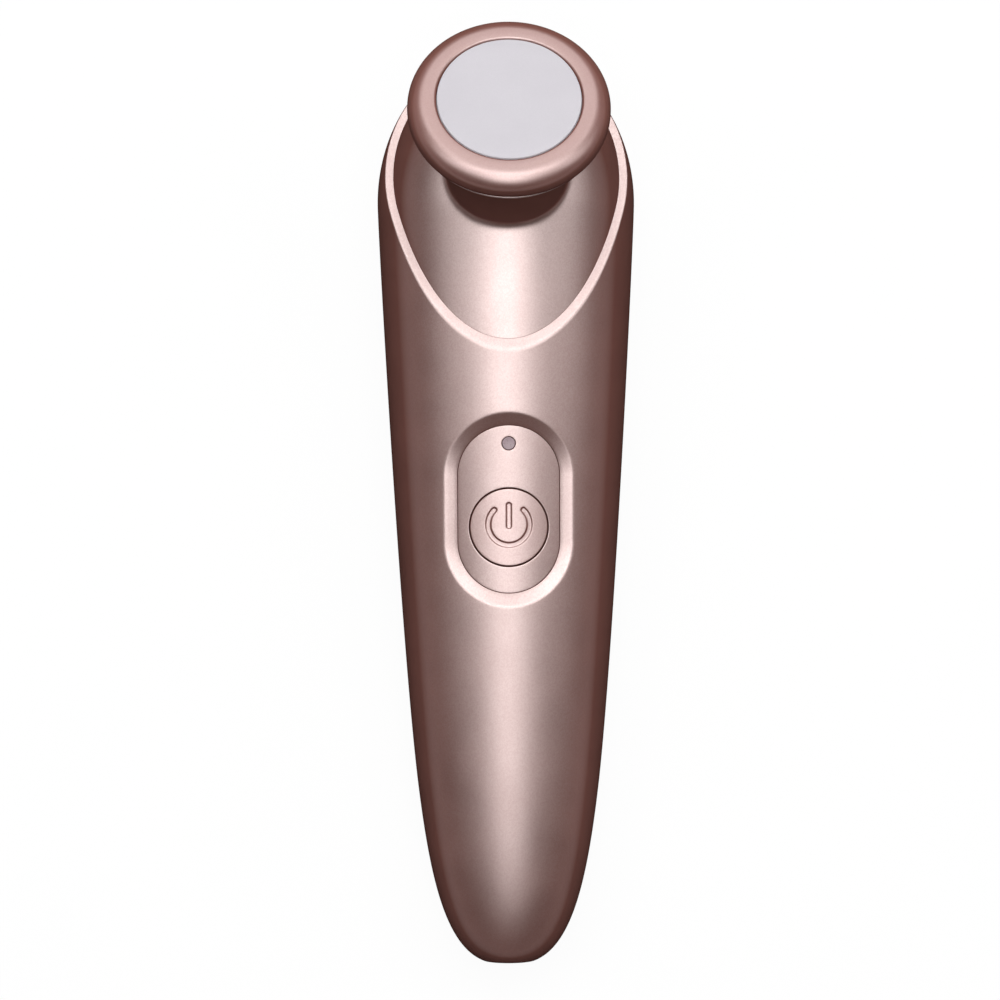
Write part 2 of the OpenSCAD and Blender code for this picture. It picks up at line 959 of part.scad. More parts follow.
module module_leads() {
    side = 4;
    high = board_under - wire_radius - slip;
    low = -1;
    wire_pair(bend([
        [side, board_end - 2, high],
        [side, board_end + 0.5, high],
        [side, board_end, low],
        [side, module_from - lead_gap, low]
    ], 6));
}

module battery_cell() {
    cap_radius = 2.75;
    cap_high = 1;
    color([0.20, 0.42, 0.70])
        in_body()
            translate([0, cell_front, cell_level])
                rotate([90, 0, 0]) {
                    cylinder(r = cell_radius, h = cell_length);
                    translate([0, 0, -cap_high])
                        cylinder(r = cap_radius, h = cap_high + 1);
                }
}

pad_length = 10;
pad_width = 8;

module battery_pads() {
    color([0.18, 0.18, 0.19])
        for (station = cradles_at)
            difference() {
                intersection() {
                    in_body()
                        translate([-pad_width / 2, station + cradle / 2 - pad_length / 2, 0])
                            cube([pad_width, pad_length, far / 4]);
                    front_half(wall + fit, wall + fit);
                }
                in_body()
                    translate([0, cell_front + 1, cell_level])
                        rotate([90, 0, 0])
                            cylinder(r = cell_radius + slip, h = cell_length + 2);
            }
}

module battery_leads() {
    low = cell_level - 2;
    wire_pair(bend([
        [4.6, cell_front + lead_gap, low],
        [4.6, cell_front + 3, low],
        [2.6, plug[1], low - 2.5],
        [2.6, plug[1], board_under - plug[4] - lead_gap]
    ], 8));
}

module charge_board() {
    half = charge_board_width / 2;
    color([0.10, 0.40, 0.25])
        in_body()
            difference() {
                translate([0, 0, charge_board_top - board_thick])
                    linear_extrude(board_thick)
                        polygon([
                            [half - charge_board_corner, charge_board_from],
                            [half, charge_board_from + charge_board_corner],
                            [half, charge_board_to],
                            [-half, charge_board_to],
                            [-half, charge_board_from + charge_board_corner],
                            [-half + charge_board_corner, charge_board_from]
                        ]);
                translate([charge_screw_at[0], charge_screw_at[1], -far / 4])
                    cylinder(r = board_screw_shank + 0.15, h = far / 2);
            }
}

module charging_socket() {
    metal = 0.3;
    color([0.72, 0.73, 0.75])
        in_body()
            difference() {
                translate([-socket_width / 2, -tail_at + socket_reach, -socket_height / 2])
                    cube([socket_width, socket_depth, socket_height]);
                difference() {
                    translate([-socket_width / 2 + metal, -tail_at - 1, -socket_height / 2 + metal])
                        cube([socket_width - 2 * metal, socket_depth, socket_height - 2 * metal]);
                    translate([-socket_width / 2 + 1.2, -tail_at + 1.2, -0.1])
                        cube([socket_width - 2.4, socket_depth, 0.7]);
                }
            }
}

// The charge leads run beside the cell, over the cradles and clear of the screw bosses
module charge_leads() {
    side = 8.2;
    level = 0.4;
    rear = charge_board_to - 2;
    low = charge_board_top + wire_radius + slip;
    plug_side = plug[2] / 2 + lead_gap;
    wire_pair(concat(
        bend([
            [3.4, rear, low],
            [6.5, rear + 1.5, low],
            [side, rear + 3, level],
            [side, rear + 6.5, level]
        ], 8),
        bend([
            [side, plug[1] - 9.5, level],
            [side, plug[1] - 3, level],
            [side - 0.5, plug[1], 0],
            [plug_side, plug[1], 0]
        ], 8)
    ));
}

module case_screws() {
    color([0.60, 0.61, 0.63])
        at_each(concat(grip_screws, cover_screws)) {
            translate([0, 0, head_seat - screw_head_high])
                cylinder(r = screw_head, h = screw_head_high);
            translate([0, 0, head_seat - 0.5])
                cylinder(r = screw_shank, h = thread_length - head_seat + 0.5);
        }
}

module screw_plugs() {
    color([0.68, 0.52, 0.49])
        intersection() {
            at_each(concat(grip_screws, cover_screws))
                translate([0, 0, -far / 4])
                    cylinder(r = screw_head + 0.2, h = far / 4 + head_seat - screw_head_high - 0.1);
            rear_half(0.1, 0.1);
        }
}

module board_screws() {
    head = board_screw_head_high;
    color([0.60, 0.61, 0.63]) {
        at_each(board_screw_at) {
            translate([0, 0, board_under - head])
                cylinder(r = board_screw_head, h = head);
            translate([0, 0, board_under - 0.5])
                cylinder(r = board_screw_shank, h = 5);
        }
        at_each([charge_screw_at]) {
            translate([0, 0, charge_board_top])
                cylinder(r = board_screw_head, h = head);
            translate([0, 0, charge_board_top - board_thick - 2])
                cylinder(r = board_screw_shank, h = board_thick + 2.5);
        }
    }
}

module cup_screws() {
    color([0.60, 0.61, 0.63])
        in_head()
            cup_screw_places() {
                translate([0, 0, cup_floor])
                    cylinder(r = cup_screw_head, h = 1);
                translate([0, 0, cup_floor - cup_screw_length])
                    cylinder(r = cup_screw_shank, h = cup_screw_length + 0.5);
            }
}

module carrier_screws() {
    seat = carrier_flange_top - 0.9;
    color([0.60, 0.61, 0.63])
        in_head()
            carrier_screw_places() {
                translate([0, 0, seat])
                    cylinder(r = cup_screw_head, h = 0.8);
                translate([0, 0, cup_floor + 0.1])
                    cylinder(r = cup_screw_shank, h = seat - cup_floor);
            }
}

front_shell();
rear_shell();
neck_cover();
head_cup();
head_ring();
plasma_disc();
disc_gasket();
electrode_plate();
electrode_spring();
electrode_carrier();
hv_terminal();
hv_module();
hv_lead();
control_panel();
power_button();
light_pipe();
indicator_led();
tact_switch();
switch_plunger();
main_board();
board_chips();
module_leads();
battery_cell();
battery_pads();
battery_leads();
charge_board();
charging_socket();
charge_leads();
case_screws();
screw_plugs();
board_screws();
cup_screws();
carrier_screws();
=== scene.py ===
import json
import math

import bmesh
import bpy
import numpy as np
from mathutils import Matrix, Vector
from mathutils.geometry import delaunay_2d_cdt


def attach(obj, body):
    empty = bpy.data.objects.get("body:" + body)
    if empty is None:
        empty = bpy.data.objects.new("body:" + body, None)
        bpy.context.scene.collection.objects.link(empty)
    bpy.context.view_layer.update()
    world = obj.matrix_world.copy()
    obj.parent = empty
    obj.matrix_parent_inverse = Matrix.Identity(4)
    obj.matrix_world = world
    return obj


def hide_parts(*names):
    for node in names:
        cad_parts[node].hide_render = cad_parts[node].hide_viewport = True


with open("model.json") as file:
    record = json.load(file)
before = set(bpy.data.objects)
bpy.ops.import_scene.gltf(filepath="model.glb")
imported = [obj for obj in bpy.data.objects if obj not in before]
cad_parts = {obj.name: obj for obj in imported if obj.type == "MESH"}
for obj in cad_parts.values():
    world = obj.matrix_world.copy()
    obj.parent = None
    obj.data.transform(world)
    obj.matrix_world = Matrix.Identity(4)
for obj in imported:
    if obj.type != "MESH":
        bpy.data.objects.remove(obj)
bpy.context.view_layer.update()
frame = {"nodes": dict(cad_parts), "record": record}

MM = 0.001

# Sizes of the wand in millimetres, as in the part's source

AXIS_HEIGHT, AXIS_CLIMB = 14.5, math.radians(4.4)
SHOULDER_HALF, SHOULDER_AT, DOME_LENGTH = 22.9, 53, 27.5
WAIST_HALF, WAIST_AT, WAIST_TAPER = 16.2, 52, 0.12
TAIL_HALF, TAIL_AT = 4.6, 83.6
TAIL_HANDLE = (2.6, 6.8)
WAIST_HANDLE_BACK, WAIST_HANDLE, SHOULDER_HANDLE = 17, 25, 5
FRONT_RATIO, BACK_RATIO = 0.75, 0.74
SEAM, FIT, SLIP = 0.05, 0.1, 0.05
COLLAR_ANGLE, COLLAR_AT, COLLAR_HEIGHT = math.radians(16), 26.5, 32.8
RIM_SIDE, RIM_FRONT = 1.4, 0.8
HEAD_AT, HEAD_HEIGHT, HEAD_TILT = 68.7, 52, math.radians(30)
RING_RADIUS, RING_THICK, RING_ROUND = 17.5, 6.3, 2.9
WINDOW_RADIUS, LIP_THICK = 12.5, 0.6
DISC_RADIUS, DISC_THICK, DISC_SUNK = 13.15, 1.5, 0.1
GASKET_THICK = 1
CUP_RADIUS, CUP_SPIGOT, CUP_BORE = 16.1, 14.1, 13.2
CUP_LIP, CUP_GAP, SPIGOT_SUNK, LEAD_BORE = 0.8, 0.2, 2, 4.7
NECK_HALF, NECK_SQUASH, NECK_TOP = 10.6, 0.87, -10
PANEL_AT, PANEL_RADIUS, PANEL_SPAN = 0.7, 9, 11.8
PANEL_SLOPE, PANEL_DEPTH, PLATE_THICK = 2.4, 1.3, 1.15
BED_LEVEL = 9.6
BUTTON_RADIUS, BUTTON_GAP, BUTTON_AT = 6.85, 0.2, 3.9
FLANGE_RADIUS, FLANGE_THICK = 7.9, 0.9
STEM_RADIUS, STEM_LEVEL = 1.6, 7.45
DOT_RADIUS, DOT_AT, DOT_FOOT = 1.15, 11, 3.75
SYMBOL_RADIUS, SYMBOL_LINE, SYMBOL_DEPTH = 4.25, 1.2, 0.25
SYMBOL_RISE, SYMBOL_BAR = 0.5, (-0.3, 3.45)
SOCKET_WIDTH, SOCKET_HEIGHT, SOCKET_CLEAR = 7.4, 2.6, 0.15
PLUG_HOLE = 2.15
PLUGS = [(-15.3, 22), (15.3, 22), (-12.6, -24), (12.6, -24), (-14.6, 50), (14.6, 50)]

# Camera: straight down on the front, a touch to the left

SENSOR_WIDTH = 36
FOCAL_PIXELS, FRAME_PIXELS, AXIS_PIXEL = 4470, 1000, 507.5
CAMERA_HEIGHT, AIM_HEIGHT = 817, 17
CAMERA_AZIMUTH, CAMERA_ROLL = math.radians(1.1), math.radians(-0.357)
CLIP_METRES = (0.05, 20)


def make_camera():
    data = bpy.data.cameras.new("camera")
    data.sensor_width = SENSOR_WIDTH
    data.lens = SENSOR_WIDTH * FOCAL_PIXELS / FRAME_PIXELS
    data.clip_start, data.clip_end = CLIP_METRES
    camera = bpy.data.objects.new("camera", data)
    bpy.context.scene.collection.objects.link(camera)
    reach = CAMERA_HEIGHT - AIM_HEIGHT
    aim = Vector(((FRAME_PIXELS / 2 - AXIS_PIXEL) * reach / FOCAL_PIXELS, 0, AIM_HEIGHT))
    away = Vector((-math.sin(CAMERA_AZIMUTH), 0, math.cos(CAMERA_AZIMUTH)))
    camera.location = (aim + reach * away) * MM
    camera.rotation_euler = (0, -CAMERA_AZIMUTH, CAMERA_ROLL)
    bpy.context.scene.camera = camera


make_camera()

# Frames of the body and the head, turned about X: a point's place in the part's frame, and the way back

BODY_FRAME = (AXIS_CLIMB, 0, AXIS_HEIGHT)
HEAD_FRAME = (-HEAD_TILT, HEAD_AT, HEAD_HEIGHT)
BODY_UP = np.array([0, -math.sin(AXIS_CLIMB), math.cos(AXIS_CLIMB)])


def turned(points, angle, at, height):
    p = np.asarray(points, float)
    x, y, z = p[..., 0], p[..., 1], p[..., 2]
    c, s = math.cos(angle), math.sin(angle)
    return np.stack([x, y * c - z * s + at, y * s + z * c + height], -1)


def turned_back(points, angle, at, height):
    x, y, z = points[..., 0], points[..., 1] - at, points[..., 2] - height
    c, s = math.cos(angle), math.sin(angle)
    return np.stack([x, y * c + z * s, z * c - y * s], -1)


def from_body(points):
    return turned(points, *BODY_FRAME)


def to_body(points):
    return turned_back(points, *BODY_FRAME)


def from_head(points):
    return turned(points, *HEAD_FRAME)


def to_head(points):
    return turned_back(points, *HEAD_FRAME)


# The body's outline: half width by station along the axis, and the run along it from the tail

OUTLINE_STEPS = 2400


def bezier(controls, t):
    c = np.asarray(controls, float)
    t = np.asarray(t, float)[:, None]
    return (1 - t) ** 3 * c[0] + 3 * (1 - t) ** 2 * t * c[1] + 3 * (1 - t) * t * t * c[2] + t ** 3 * c[3]


def body_outline():
    tail = [(-TAIL_AT, TAIL_HALF),
            (-TAIL_AT + TAIL_HANDLE[0], TAIL_HALF + TAIL_HANDLE[1]),
            (-WAIST_AT - WAIST_HANDLE_BACK, WAIST_HALF - WAIST_HANDLE_BACK * WAIST_TAPER),
            (-WAIST_AT, WAIST_HALF)]
    grip = [(-WAIST_AT, WAIST_HALF),
            (-WAIST_AT + WAIST_HANDLE, WAIST_HALF + WAIST_HANDLE * WAIST_TAPER),
            (SHOULDER_AT - SHOULDER_HANDLE, SHOULDER_HALF),
            (SHOULDER_AT, SHOULDER_HALF)]
    shares = np.linspace(0, 1, OUTLINE_STEPS)
    dome = np.radians(np.linspace(0, 90, OUTLINE_STEPS))
    return np.concatenate([
        bezier(tail, shares)[:-1],
        bezier(grip, shares)[:-1],
        np.stack([SHOULDER_AT + DOME_LENGTH * np.sin(dome), SHOULDER_HALF * np.cos(dome)], 1),
    ])


OUTLINE = body_outline()
RUN = np.concatenate([[0], np.cumsum(np.hypot(*np.diff(OUTLINE, axis=0).T))])


def half_width(station):
    return np.interp(station, OUTLINE[:, 0], OUTLINE[:, 1])


def run_at(station):
    return np.interp(station, OUTLINE[:, 0], RUN)


def station_at(run):
    return np.interp(run, RUN, OUTLINE[:, 0])


def inset_outline(depth):
    """The outline moved squarely inwards."""
    slope = np.gradient(OUTLINE, axis=0)
    slope /= np.linalg.norm(slope, axis=1)[:, None]
    return OUTLINE + depth * np.stack([slope[:, 1], -slope[:, 0]], 1)


def inset_squash(ratio, front, side):
    """Height over half width of the body's section, once it is moved in at the front and at the sides."""
    return (ratio * SHOULDER_HALF - front) / (SHOULDER_HALF - side)


COLLAR_LINE = inset_outline(RIM_SIDE)


def collar_half(station):
    """Half width of the neck cover, which lies inside the collar."""
    return np.interp(station, COLLAR_LINE[:, 0], COLLAR_LINE[:, 1], right=0)


# Surfaces of the body

LAND_SOFT = 0.4


def section_height(x, station):
    return np.sqrt(np.maximum(half_width(station) ** 2 - np.asarray(x, float) ** 2, 0))


def on_land(points):
    """Rests what would dip under the rest plane on it, with a soft edge."""
    z = points[..., 2]
    eased = (z + LAND_SOFT) ** 2 / (4 * LAND_SOFT)
    rested = np.where(z > LAND_SOFT, z, np.where(z < -LAND_SOFT, 0, eased))
    return np.concatenate([points[..., :2], rested[..., None]], -1)


def front_point(x, station, drop=0):
    x, station = np.broadcast_arrays(np.asarray(x, float), np.asarray(station, float))
    return from_body(np.stack([x, station, FRONT_RATIO * section_height(x, station) - drop], -1))


def rear_point(x, station, drop=0):
    x, station = np.broadcast_arrays(np.asarray(x, float), np.asarray(station, float))
    flat = on_land(from_body(np.stack([x, station, -BACK_RATIO * section_height(x, station)], -1)))
    return flat + np.asarray(drop, float)[..., None] * BODY_UP


COLLAR_NORMAL = np.array([0, math.sin(COLLAR_ANGLE), math.cos(COLLAR_ANGLE)])
COLLAR_POINT = np.array([0, COLLAR_AT, COLLAR_HEIGHT])


def over_collar(points):
    return (points - COLLAR_POINT) @ COLLAR_NORMAL


def collar_crossing(points):
    """The step in which a row of points passes the collar cut, and the share of it."""
    over = over_collar(points)
    i = int(np.argmax(over >= 0))
    return i, over[i - 1] / (over[i - 1] - over[i])


# Meshes

MERGED_METRES, SHORTEST_METRES = 2e-6, 1e-6
skins = []


class Patchwork:
    """Rows of points in millimetres joined by faces, to be made one mesh."""

    def __init__(self):
        self.points = []
        self.faces = []

    def row(self, points):
        start = len(self.points)
        self.points.extend(tuple(p) for p in np.asarray(points, float))
        return list(range(start, len(self.points)))

    def join(self, rows):
        """Joins rows that close on themselves, each to the next."""
        for a, b in zip(rows[:-1], rows[1:]):
            for i in range(len(a)):
                j = (i + 1) % len(a)
                self.faces.append((a[i], a[j], b[j], b[i]))

    def mesh(self, outward=None):
        """Makes the mesh, with its normals away from the inner point that outward names."""
        data = bpy.data.meshes.new("skin")
        data.from_pydata([tuple(MM * v for v in p) for p in self.points], [], self.faces)
        bm = bmesh.new()
        bm.from_mesh(data)
        bmesh.ops.remove_doubles(bm, verts=bm.verts, dist=MERGED_METRES)
        bmesh.ops.dissolve_degenerate(bm, edges=bm.edges, dist=SHORTEST_METRES)
        loose = [v for v in bm.verts if not v.link_faces]
        bmesh.ops.delete(bm, geom=loose, context="VERTS")
        bmesh.ops.recalc_face_normals(bm, faces=bm.faces)
        if outward is not None:
            inner = Vector(outward) * MM
            ways = [(f, (f.calc_center_median() - inner).normalized()) for f in bm.faces]
            if sum(way.dot(f.normal) * f.calc_area() for f, way in ways) < 0:
                bmesh.ops.reverse_faces(bm, faces=bm.faces)
        bm.to_mesh(data)
        bm.free()
        data.shade_smooth()
        return data


def piece(name, data, body, slot, *nodes, thickness=0):
    """A visible piece that rides a body and stands in for nodes; an open one gets a sheet's thickness."""
    data.name = name
    thing = bpy.data.objects.new(name, data)
    bpy.context.scene.collection.objects.link(thing)
    if thickness:
        solid = thing.modifiers.new("thickness", "SOLIDIFY")
        solid.thickness = thickness * MM
        solid.offset = -1
        solid.use_rim = True
    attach(thing, body)
    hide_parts(*nodes)
    skins.append((thing, slot))


def corner(before, edge, after, steps=4):
    """Rows that round a corner: on the curve from before to after, drawn to the edge."""
    before, edge, after = (np.asarray(p, float) for p in (before, edge, after))
    shares = np.linspace(0, 1, steps + 1)
    return [(1 - t) ** 2 * before + 2 * t * (1 - t) * edge + t * t * after for t in shares]


def arc(centre, radius, start, end, steps=4):
    """Points of an arc from a start to an end angle in degrees."""
    angles = np.radians(np.linspace(start, end, steps + 1))
    return [(centre[0] + radius * math.cos(a), centre[1] + radius * math.sin(a)) for a in angles]


def circle_ring(centre, radius, count):
    """Points of a circle in plan, anticlockwise."""
    turn = np.linspace(0, 2 * math.pi, count, endpoint=False)
    return np.stack([centre[0] + radius * np.cos(turn), centre[1] + radius * np.sin(turn)], -1)


def level_ring(place, centre, radius, level, count):
    """A circle at one level of the frame that place names."""
    ring = circle_ring(centre, radius, count)
    return place(np.concatenate([ring, np.full((count, 1), level)], 1))


def head_lathe(profile, sides=160):
    """Turns a closed profile of (radius, height) about the head's axis."""
    work = Patchwork()
    rows = [work.row(level_ring(from_head, (0, 0), radius, height, sides)) for radius, height in profile]
    work.join(rows + rows[:1])
    return work.mesh()


# The two shells

EDGE_ROUND, EDGE_LIP, EDGE_STEPS = 0.25, 0.7, 4
COLUMNS = 88
STEEPEST = 0.9
RIM_ROUND, RIM_STEPS, RIM_FOLD, CREASE = 0.5, 6, 0.9, 0.04
TAIL_ROUND, MOUTH_DEPTH = 0.3, 2.5
FINE_LENGTH, FINE_ROWS = 16, 34
ROW_SPACING, UPPER_ROWS = 0.85, 56
CUT_STEPS, LOWEST_RIM = 4000, 15
FRONT_SPLIT, REAR_SPLIT = 19.4, 54
SHELL_SHEET = 0.2
TINY, END_CLEAR = 1e-6, 1e-4


def section_columns(ratio, sign):
    """A shell's points by column, from seam to seam, and by station; and its last column."""
    edge_columns = EDGE_STEPS + 1
    last = COLUMNS + 2 * edge_columns

    def place(column, station):
        half = half_width(station)
        mirrored = column > last / 2
        k = last - column if mirrored else column
        side = -1 if mirrored else 1
        if k == 0:
            x = half - EDGE_LIP
            level = np.full_like(half, SEAM)
        elif k <= EDGE_STEPS:
            turn = math.pi / 2 * (k - 1) / EDGE_STEPS
            x = half - EDGE_ROUND + EDGE_ROUND * math.sin(turn)
            level = np.full_like(half, SEAM + EDGE_ROUND - EDGE_ROUND * math.cos(turn))
        else:
            first = np.arcsin(np.minimum((SEAM + EDGE_ROUND) / (ratio * half), STEEPEST))
            turn = first + (math.pi - 2 * first) * (k - edge_columns) / COLUMNS
            x = half * np.cos(turn)
            level = ratio * half * np.sin(turn)
        points = from_body(np.stack([side * x, station, sign * level], -1))
        return points if sign > 0 else on_land(points)
    return place, last


def collar_stations(place, last, low):
    """Where each column of a shell meets the collar cut."""
    runs = np.linspace(run_at(low), RUN[-1] - END_CLEAR, CUT_STEPS)
    stations = station_at(runs)
    cuts = []
    for column in range(last + 1):
        i, share = collar_crossing(place(column, stations))
        cuts.append(station_at(runs[i - 1] + share * (runs[i] - runs[i - 1])))
    return np.array(cuts)


def shell_grid(place, split, cuts):
    """Stations of the even rows up to the split, and all rows: these, and those that close in on the cut."""
    split_run = run_at(split)
    even = np.concatenate([
        np.linspace(TAIL_ROUND, FINE_LENGTH, FINE_ROWS)[:-1],
        np.linspace(FINE_LENGTH, split_run, int((split_run - FINE_LENGTH) / ROW_SPACING)),
    ])
    shares = np.arange(1, UPPER_ROWS + 1) / UPPER_ROWS
    columns = []
    for column, cut in enumerate(cuts):
        closing = split_run + shares * (run_at(cut) - RIM_ROUND - split_run)
        columns.append(place(column, station_at(np.concatenate([even, closing]))))
    return station_at(even), np.stack(columns, 1)


def rim_inside(ratio, sign, last):
    """The points of the collar cut on the neck cover's surface, one for each column."""
    stations = station_at(np.linspace(run_at(LOWEST_RIM), RUN[-1], CUT_STEPS))
    half = collar_half(stations)
    squash = inset_squash(ratio, RIM_FRONT, RIM_SIDE)
    inside = []
    for column in range(last + 1):
        turn = math.pi * column / last
        level = np.maximum(squash * half * math.sin(turn), SEAM)
        points = from_body(np.stack([half * math.cos(turn), stations, sign * level], -1))
        i, share = collar_crossing(points)
        inside.append(points[i - 1] + share * (points[i] - points[i - 1]))
    return np.array(inside)


def rim_points(before, edge, inside):
    """The rim: a rounded edge, the flat face in the collar cut, and the fold behind it."""
    along = inside - edge
    length = np.linalg.norm(along, axis=1)[:, None]
    way = along / length
    rows = corner(before, edge, edge + way * np.minimum(RIM_ROUND, length * 0.4), RIM_STEPS)[1:]
    rows += [edge + along * 0.5, inside - way * np.minimum(CREASE, length * 0.1)]
    return rows + [inside, inside - CREASE * COLLAR_NORMAL, inside - RIM_FOLD * COLLAR_NORMAL]


def tail_points(before, end):
    """The tail: a rounded edge, the flat end, and the mouth of the socket."""
    local = to_body(end)
    half, half_high = (size / 2 + SOCKET_CLEAR for size in (SOCKET_WIDTH, SOCKET_HEIGHT))
    across = np.clip(local[:, 0], -half, half)
    level = np.clip(local[:, 2], -half_high, half_high)
    mouth, deep = (from_body(np.stack([across, np.full(len(end), station), level], -1))
                   for station in (-TAIL_AT, -TAIL_AT + MOUTH_DEPTH))
    inward = mouth - end
    span = np.linalg.norm(inward, axis=1)[:, None]
    way = inward / np.maximum(span, TINY)
    rows = corner(before, end, end + way * np.minimum(TAIL_ROUND, span * 0.5))[1:]
    return rows + [mouth, mouth + (deep - mouth) * 0.1, deep]


def window_box(stations, grid, centre, reach):
    """First and last row and column of the grid about a window."""
    rows = np.flatnonzero(np.abs(stations - centre[1]) <= reach[1])
    near = np.argmin(np.abs(stations - centre[1]))
    columns = np.flatnonzero(np.abs(grid[near, :, 0] - centre[0]) <= reach[0])
    return rows[0], rows[-1], columns[0], columns[-1]


def box_loop(r0, r1, c0, c1):
    """The rows and columns round the edge of a box, in order."""
    loop = [(r0, c) for c in range(c0, c1)] + [(r, c1) for r in range(r0, r1)]
    return loop + [(r1, c) for c in range(c1, c0, -1)] + [(r, c0) for r in range(r1, r0, -1)]


def shell_skin(ratio, sign, split, windows):
    """One shell: its rows from the tail to the rim, left open at the windows, and the windows' edges."""
    place, last = section_columns(ratio, sign)
    cuts = collar_stations(place, last, split)
    stations, grid = shell_grid(place, split, cuts)
    edge = np.array([place(column, cut) for column, cut in enumerate(cuts)])
    end = np.array([place(column, -TAIL_AT) for column in range(last + 1)])
    work = Patchwork()
    rows = [work.row(points) for points in grid]
    rim = [work.row(points) for points in rim_points(grid[-1], edge, rim_inside(ratio, sign, last))]
    tail = [work.row(points) for points in tail_points(grid[0], end)]
    every = tail[::-1] + rows + rim
    boxes = [window_box(stations, grid, centre, reach) for centre, reach, _ in windows]
    filled = np.ones((len(every) - 1, last), bool)
    for r0, r1, c0, c1 in boxes:
        filled[r0 + len(tail):r1 + len(tail), c0:c1] = False
    for r, c in np.argwhere(filled):
        work.faces.append((every[r][c], every[r][c + 1], every[r + 1][c + 1], every[r + 1][c]))
    for box, (_, _, outline) in zip(boxes, windows):
        loop = box_loop(*box)
        plan = to_body(np.array([grid[r, c] for r, c in loop]))[:, :2]
        work.join([[rows[r][c] for r, c in loop]] + [work.row(points) for points in outline(plan)])
    return work.mesh(outward=(0, 0, AXIS_HEIGHT))


# Windows in the shells: the pill-shaped recess and the plugs' holes, within boxes of (across, along)

PILL_LOW, PILL_TOP = -PANEL_AT - PANEL_SPAN / 2, -PANEL_AT + PANEL_SPAN / 2
RECESS_BOX, RECESS_ROWS, RECESS_SOFT = (13.4, 19.6), 6, 0.3
SLOPE_SHARES, SEAT_SOFT, SEAT_WALL = (0.4, 0.7), 0.07, 0.9
PLUG_BOX, PLUG_ROWS, PLUG_SOFT, PLUG_WALL = (3.4, 3.2), 4, 0.15, 1.2


def pill_middle(plan):
    """The nearest points of the pill's middle line."""
    return np.stack([np.zeros(len(plan)), np.clip(plan[:, 1], PILL_LOW, PILL_TOP)], 1)


def hole_rows(plan, centre, count, profile, surface):
    """Rows from a loop of plan points to a hole's edge and down it, by (distance from the centre, drop)."""
    away = plan - centre
    away /= np.linalg.norm(away, axis=1)[:, None]
    ring = centre + away * profile[0][0]
    rows = []
    for t in np.linspace(0, 1, count + 1)[1:]:
        p = plan * (1 - t) + ring * t
        rows.append(surface(p[:, 0], p[:, 1]))
    for distance, drop in profile[1:]:
        p = centre + away * distance
        rows.append(surface(p[:, 0], p[:, 1], np.full(len(p), drop)))
    return rows


def recess_rows(plan):
    """The recess's edge and its sloped wall, down to the plate's seat."""
    outer, seat = PANEL_RADIUS + PANEL_SLOPE, PANEL_RADIUS + SEAM
    fall = PANEL_DEPTH / PANEL_SLOPE
    low = (outer - seat) * fall
    profile = corner((outer + RECESS_SOFT, 0), (outer, 0), (outer - RECESS_SOFT, RECESS_SOFT * fall), steps=5)
    profile += [(outer - PANEL_SLOPE * share, PANEL_DEPTH * share) for share in SLOPE_SHARES]
    before, after = (seat + SEAT_SOFT, low - SEAT_SOFT * fall), (seat, low + SEAT_SOFT)
    profile += corner(before, (seat, low), after, steps=3)
    profile += [(seat, low + SEAT_WALL)]
    return hole_rows(plan, pill_middle(plan), RECESS_ROWS, profile, front_point)


def plug_rows(centre):
    """The rounded edge and the wall of one plug's hole."""
    profile = corner((PLUG_HOLE + PLUG_SOFT, 0), (PLUG_HOLE, 0), (PLUG_HOLE, PLUG_SOFT), steps=3)
    profile += [(PLUG_HOLE, PLUG_WALL)]
    return lambda plan: hole_rows(plan, np.array(centre), PLUG_ROWS, profile, rear_point)


RECESS = ((0, -PANEL_AT), RECESS_BOX, recess_rows)
PLUG_HOLES = [(centre, PLUG_BOX, plug_rows(centre)) for centre in PLUGS]
piece("front_shell_skin", shell_skin(FRONT_RATIO, 1, FRONT_SPLIT, [RECESS]),
      "housing", "shell_paint", "front_shell", thickness=SHELL_SHEET)
piece("rear_shell_skin", shell_skin(BACK_RATIO, -1, REAR_SPLIT, PLUG_HOLES),
      "housing", "shell_paint", "rear_shell", thickness=SHELL_SHEET)

# The neck cover: rays from a point on the neck's axis, in the plane of the collar cut

NECK_AXIS = np.array([0, math.sin(HEAD_TILT), math.cos(HEAD_TILT)])
HEAD_POINT = np.array([0, HEAD_AT, HEAD_HEIGHT])
NECK_FILLET, NECK_WALL = 0.8, 1.6
COVER_SIDES, COVER_ROWS = 176, 64
RAY_STEPS, RAY_HALVINGS, RAY_SPAN = 240, 44, (4.0, 60.0)
SKIRT_DROPS, SKIRT_TUCK = (0.4, 1.0), 0.02
COVER_SHEET = 0.4


def cover_field(points):
    """Below zero inside the cover: the inset body blended with the neck."""
    b = to_body(points)
    front, back = (inset_squash(ratio, RIM_FRONT, RIM_SIDE) for ratio in (FRONT_RATIO, BACK_RATIO))
    squash = np.where(b[..., 2] > 0, front, back)
    body = (np.hypot(b[..., 0], b[..., 2] / squash) - collar_half(b[..., 1])) * squash
    h = to_head(points)
    neck = (np.hypot(h[..., 0], h[..., 1] / NECK_SQUASH) - NECK_HALF) * NECK_SQUASH
    mix = np.clip(0.5 + 0.5 * (neck - body) / NECK_FILLET, 0, 1)
    return neck * (1 - mix) + body * mix - NECK_FILLET * mix * (1 - mix)


def cover_hits(centre, ways):
    """Where rays from the centre leave the cover, found by halving."""
    inner, outer = (np.full(ways.shape[:2], reach) for reach in RAY_SPAN)
    for _ in range(RAY_HALVINGS):
        middle = (inner + outer) / 2
        inside = cover_field(centre + middle[..., None] * ways) < 0
        inner = np.where(inside, middle, inner)
        outer = np.where(inside, outer, middle)
    return centre + inner[..., None] * ways


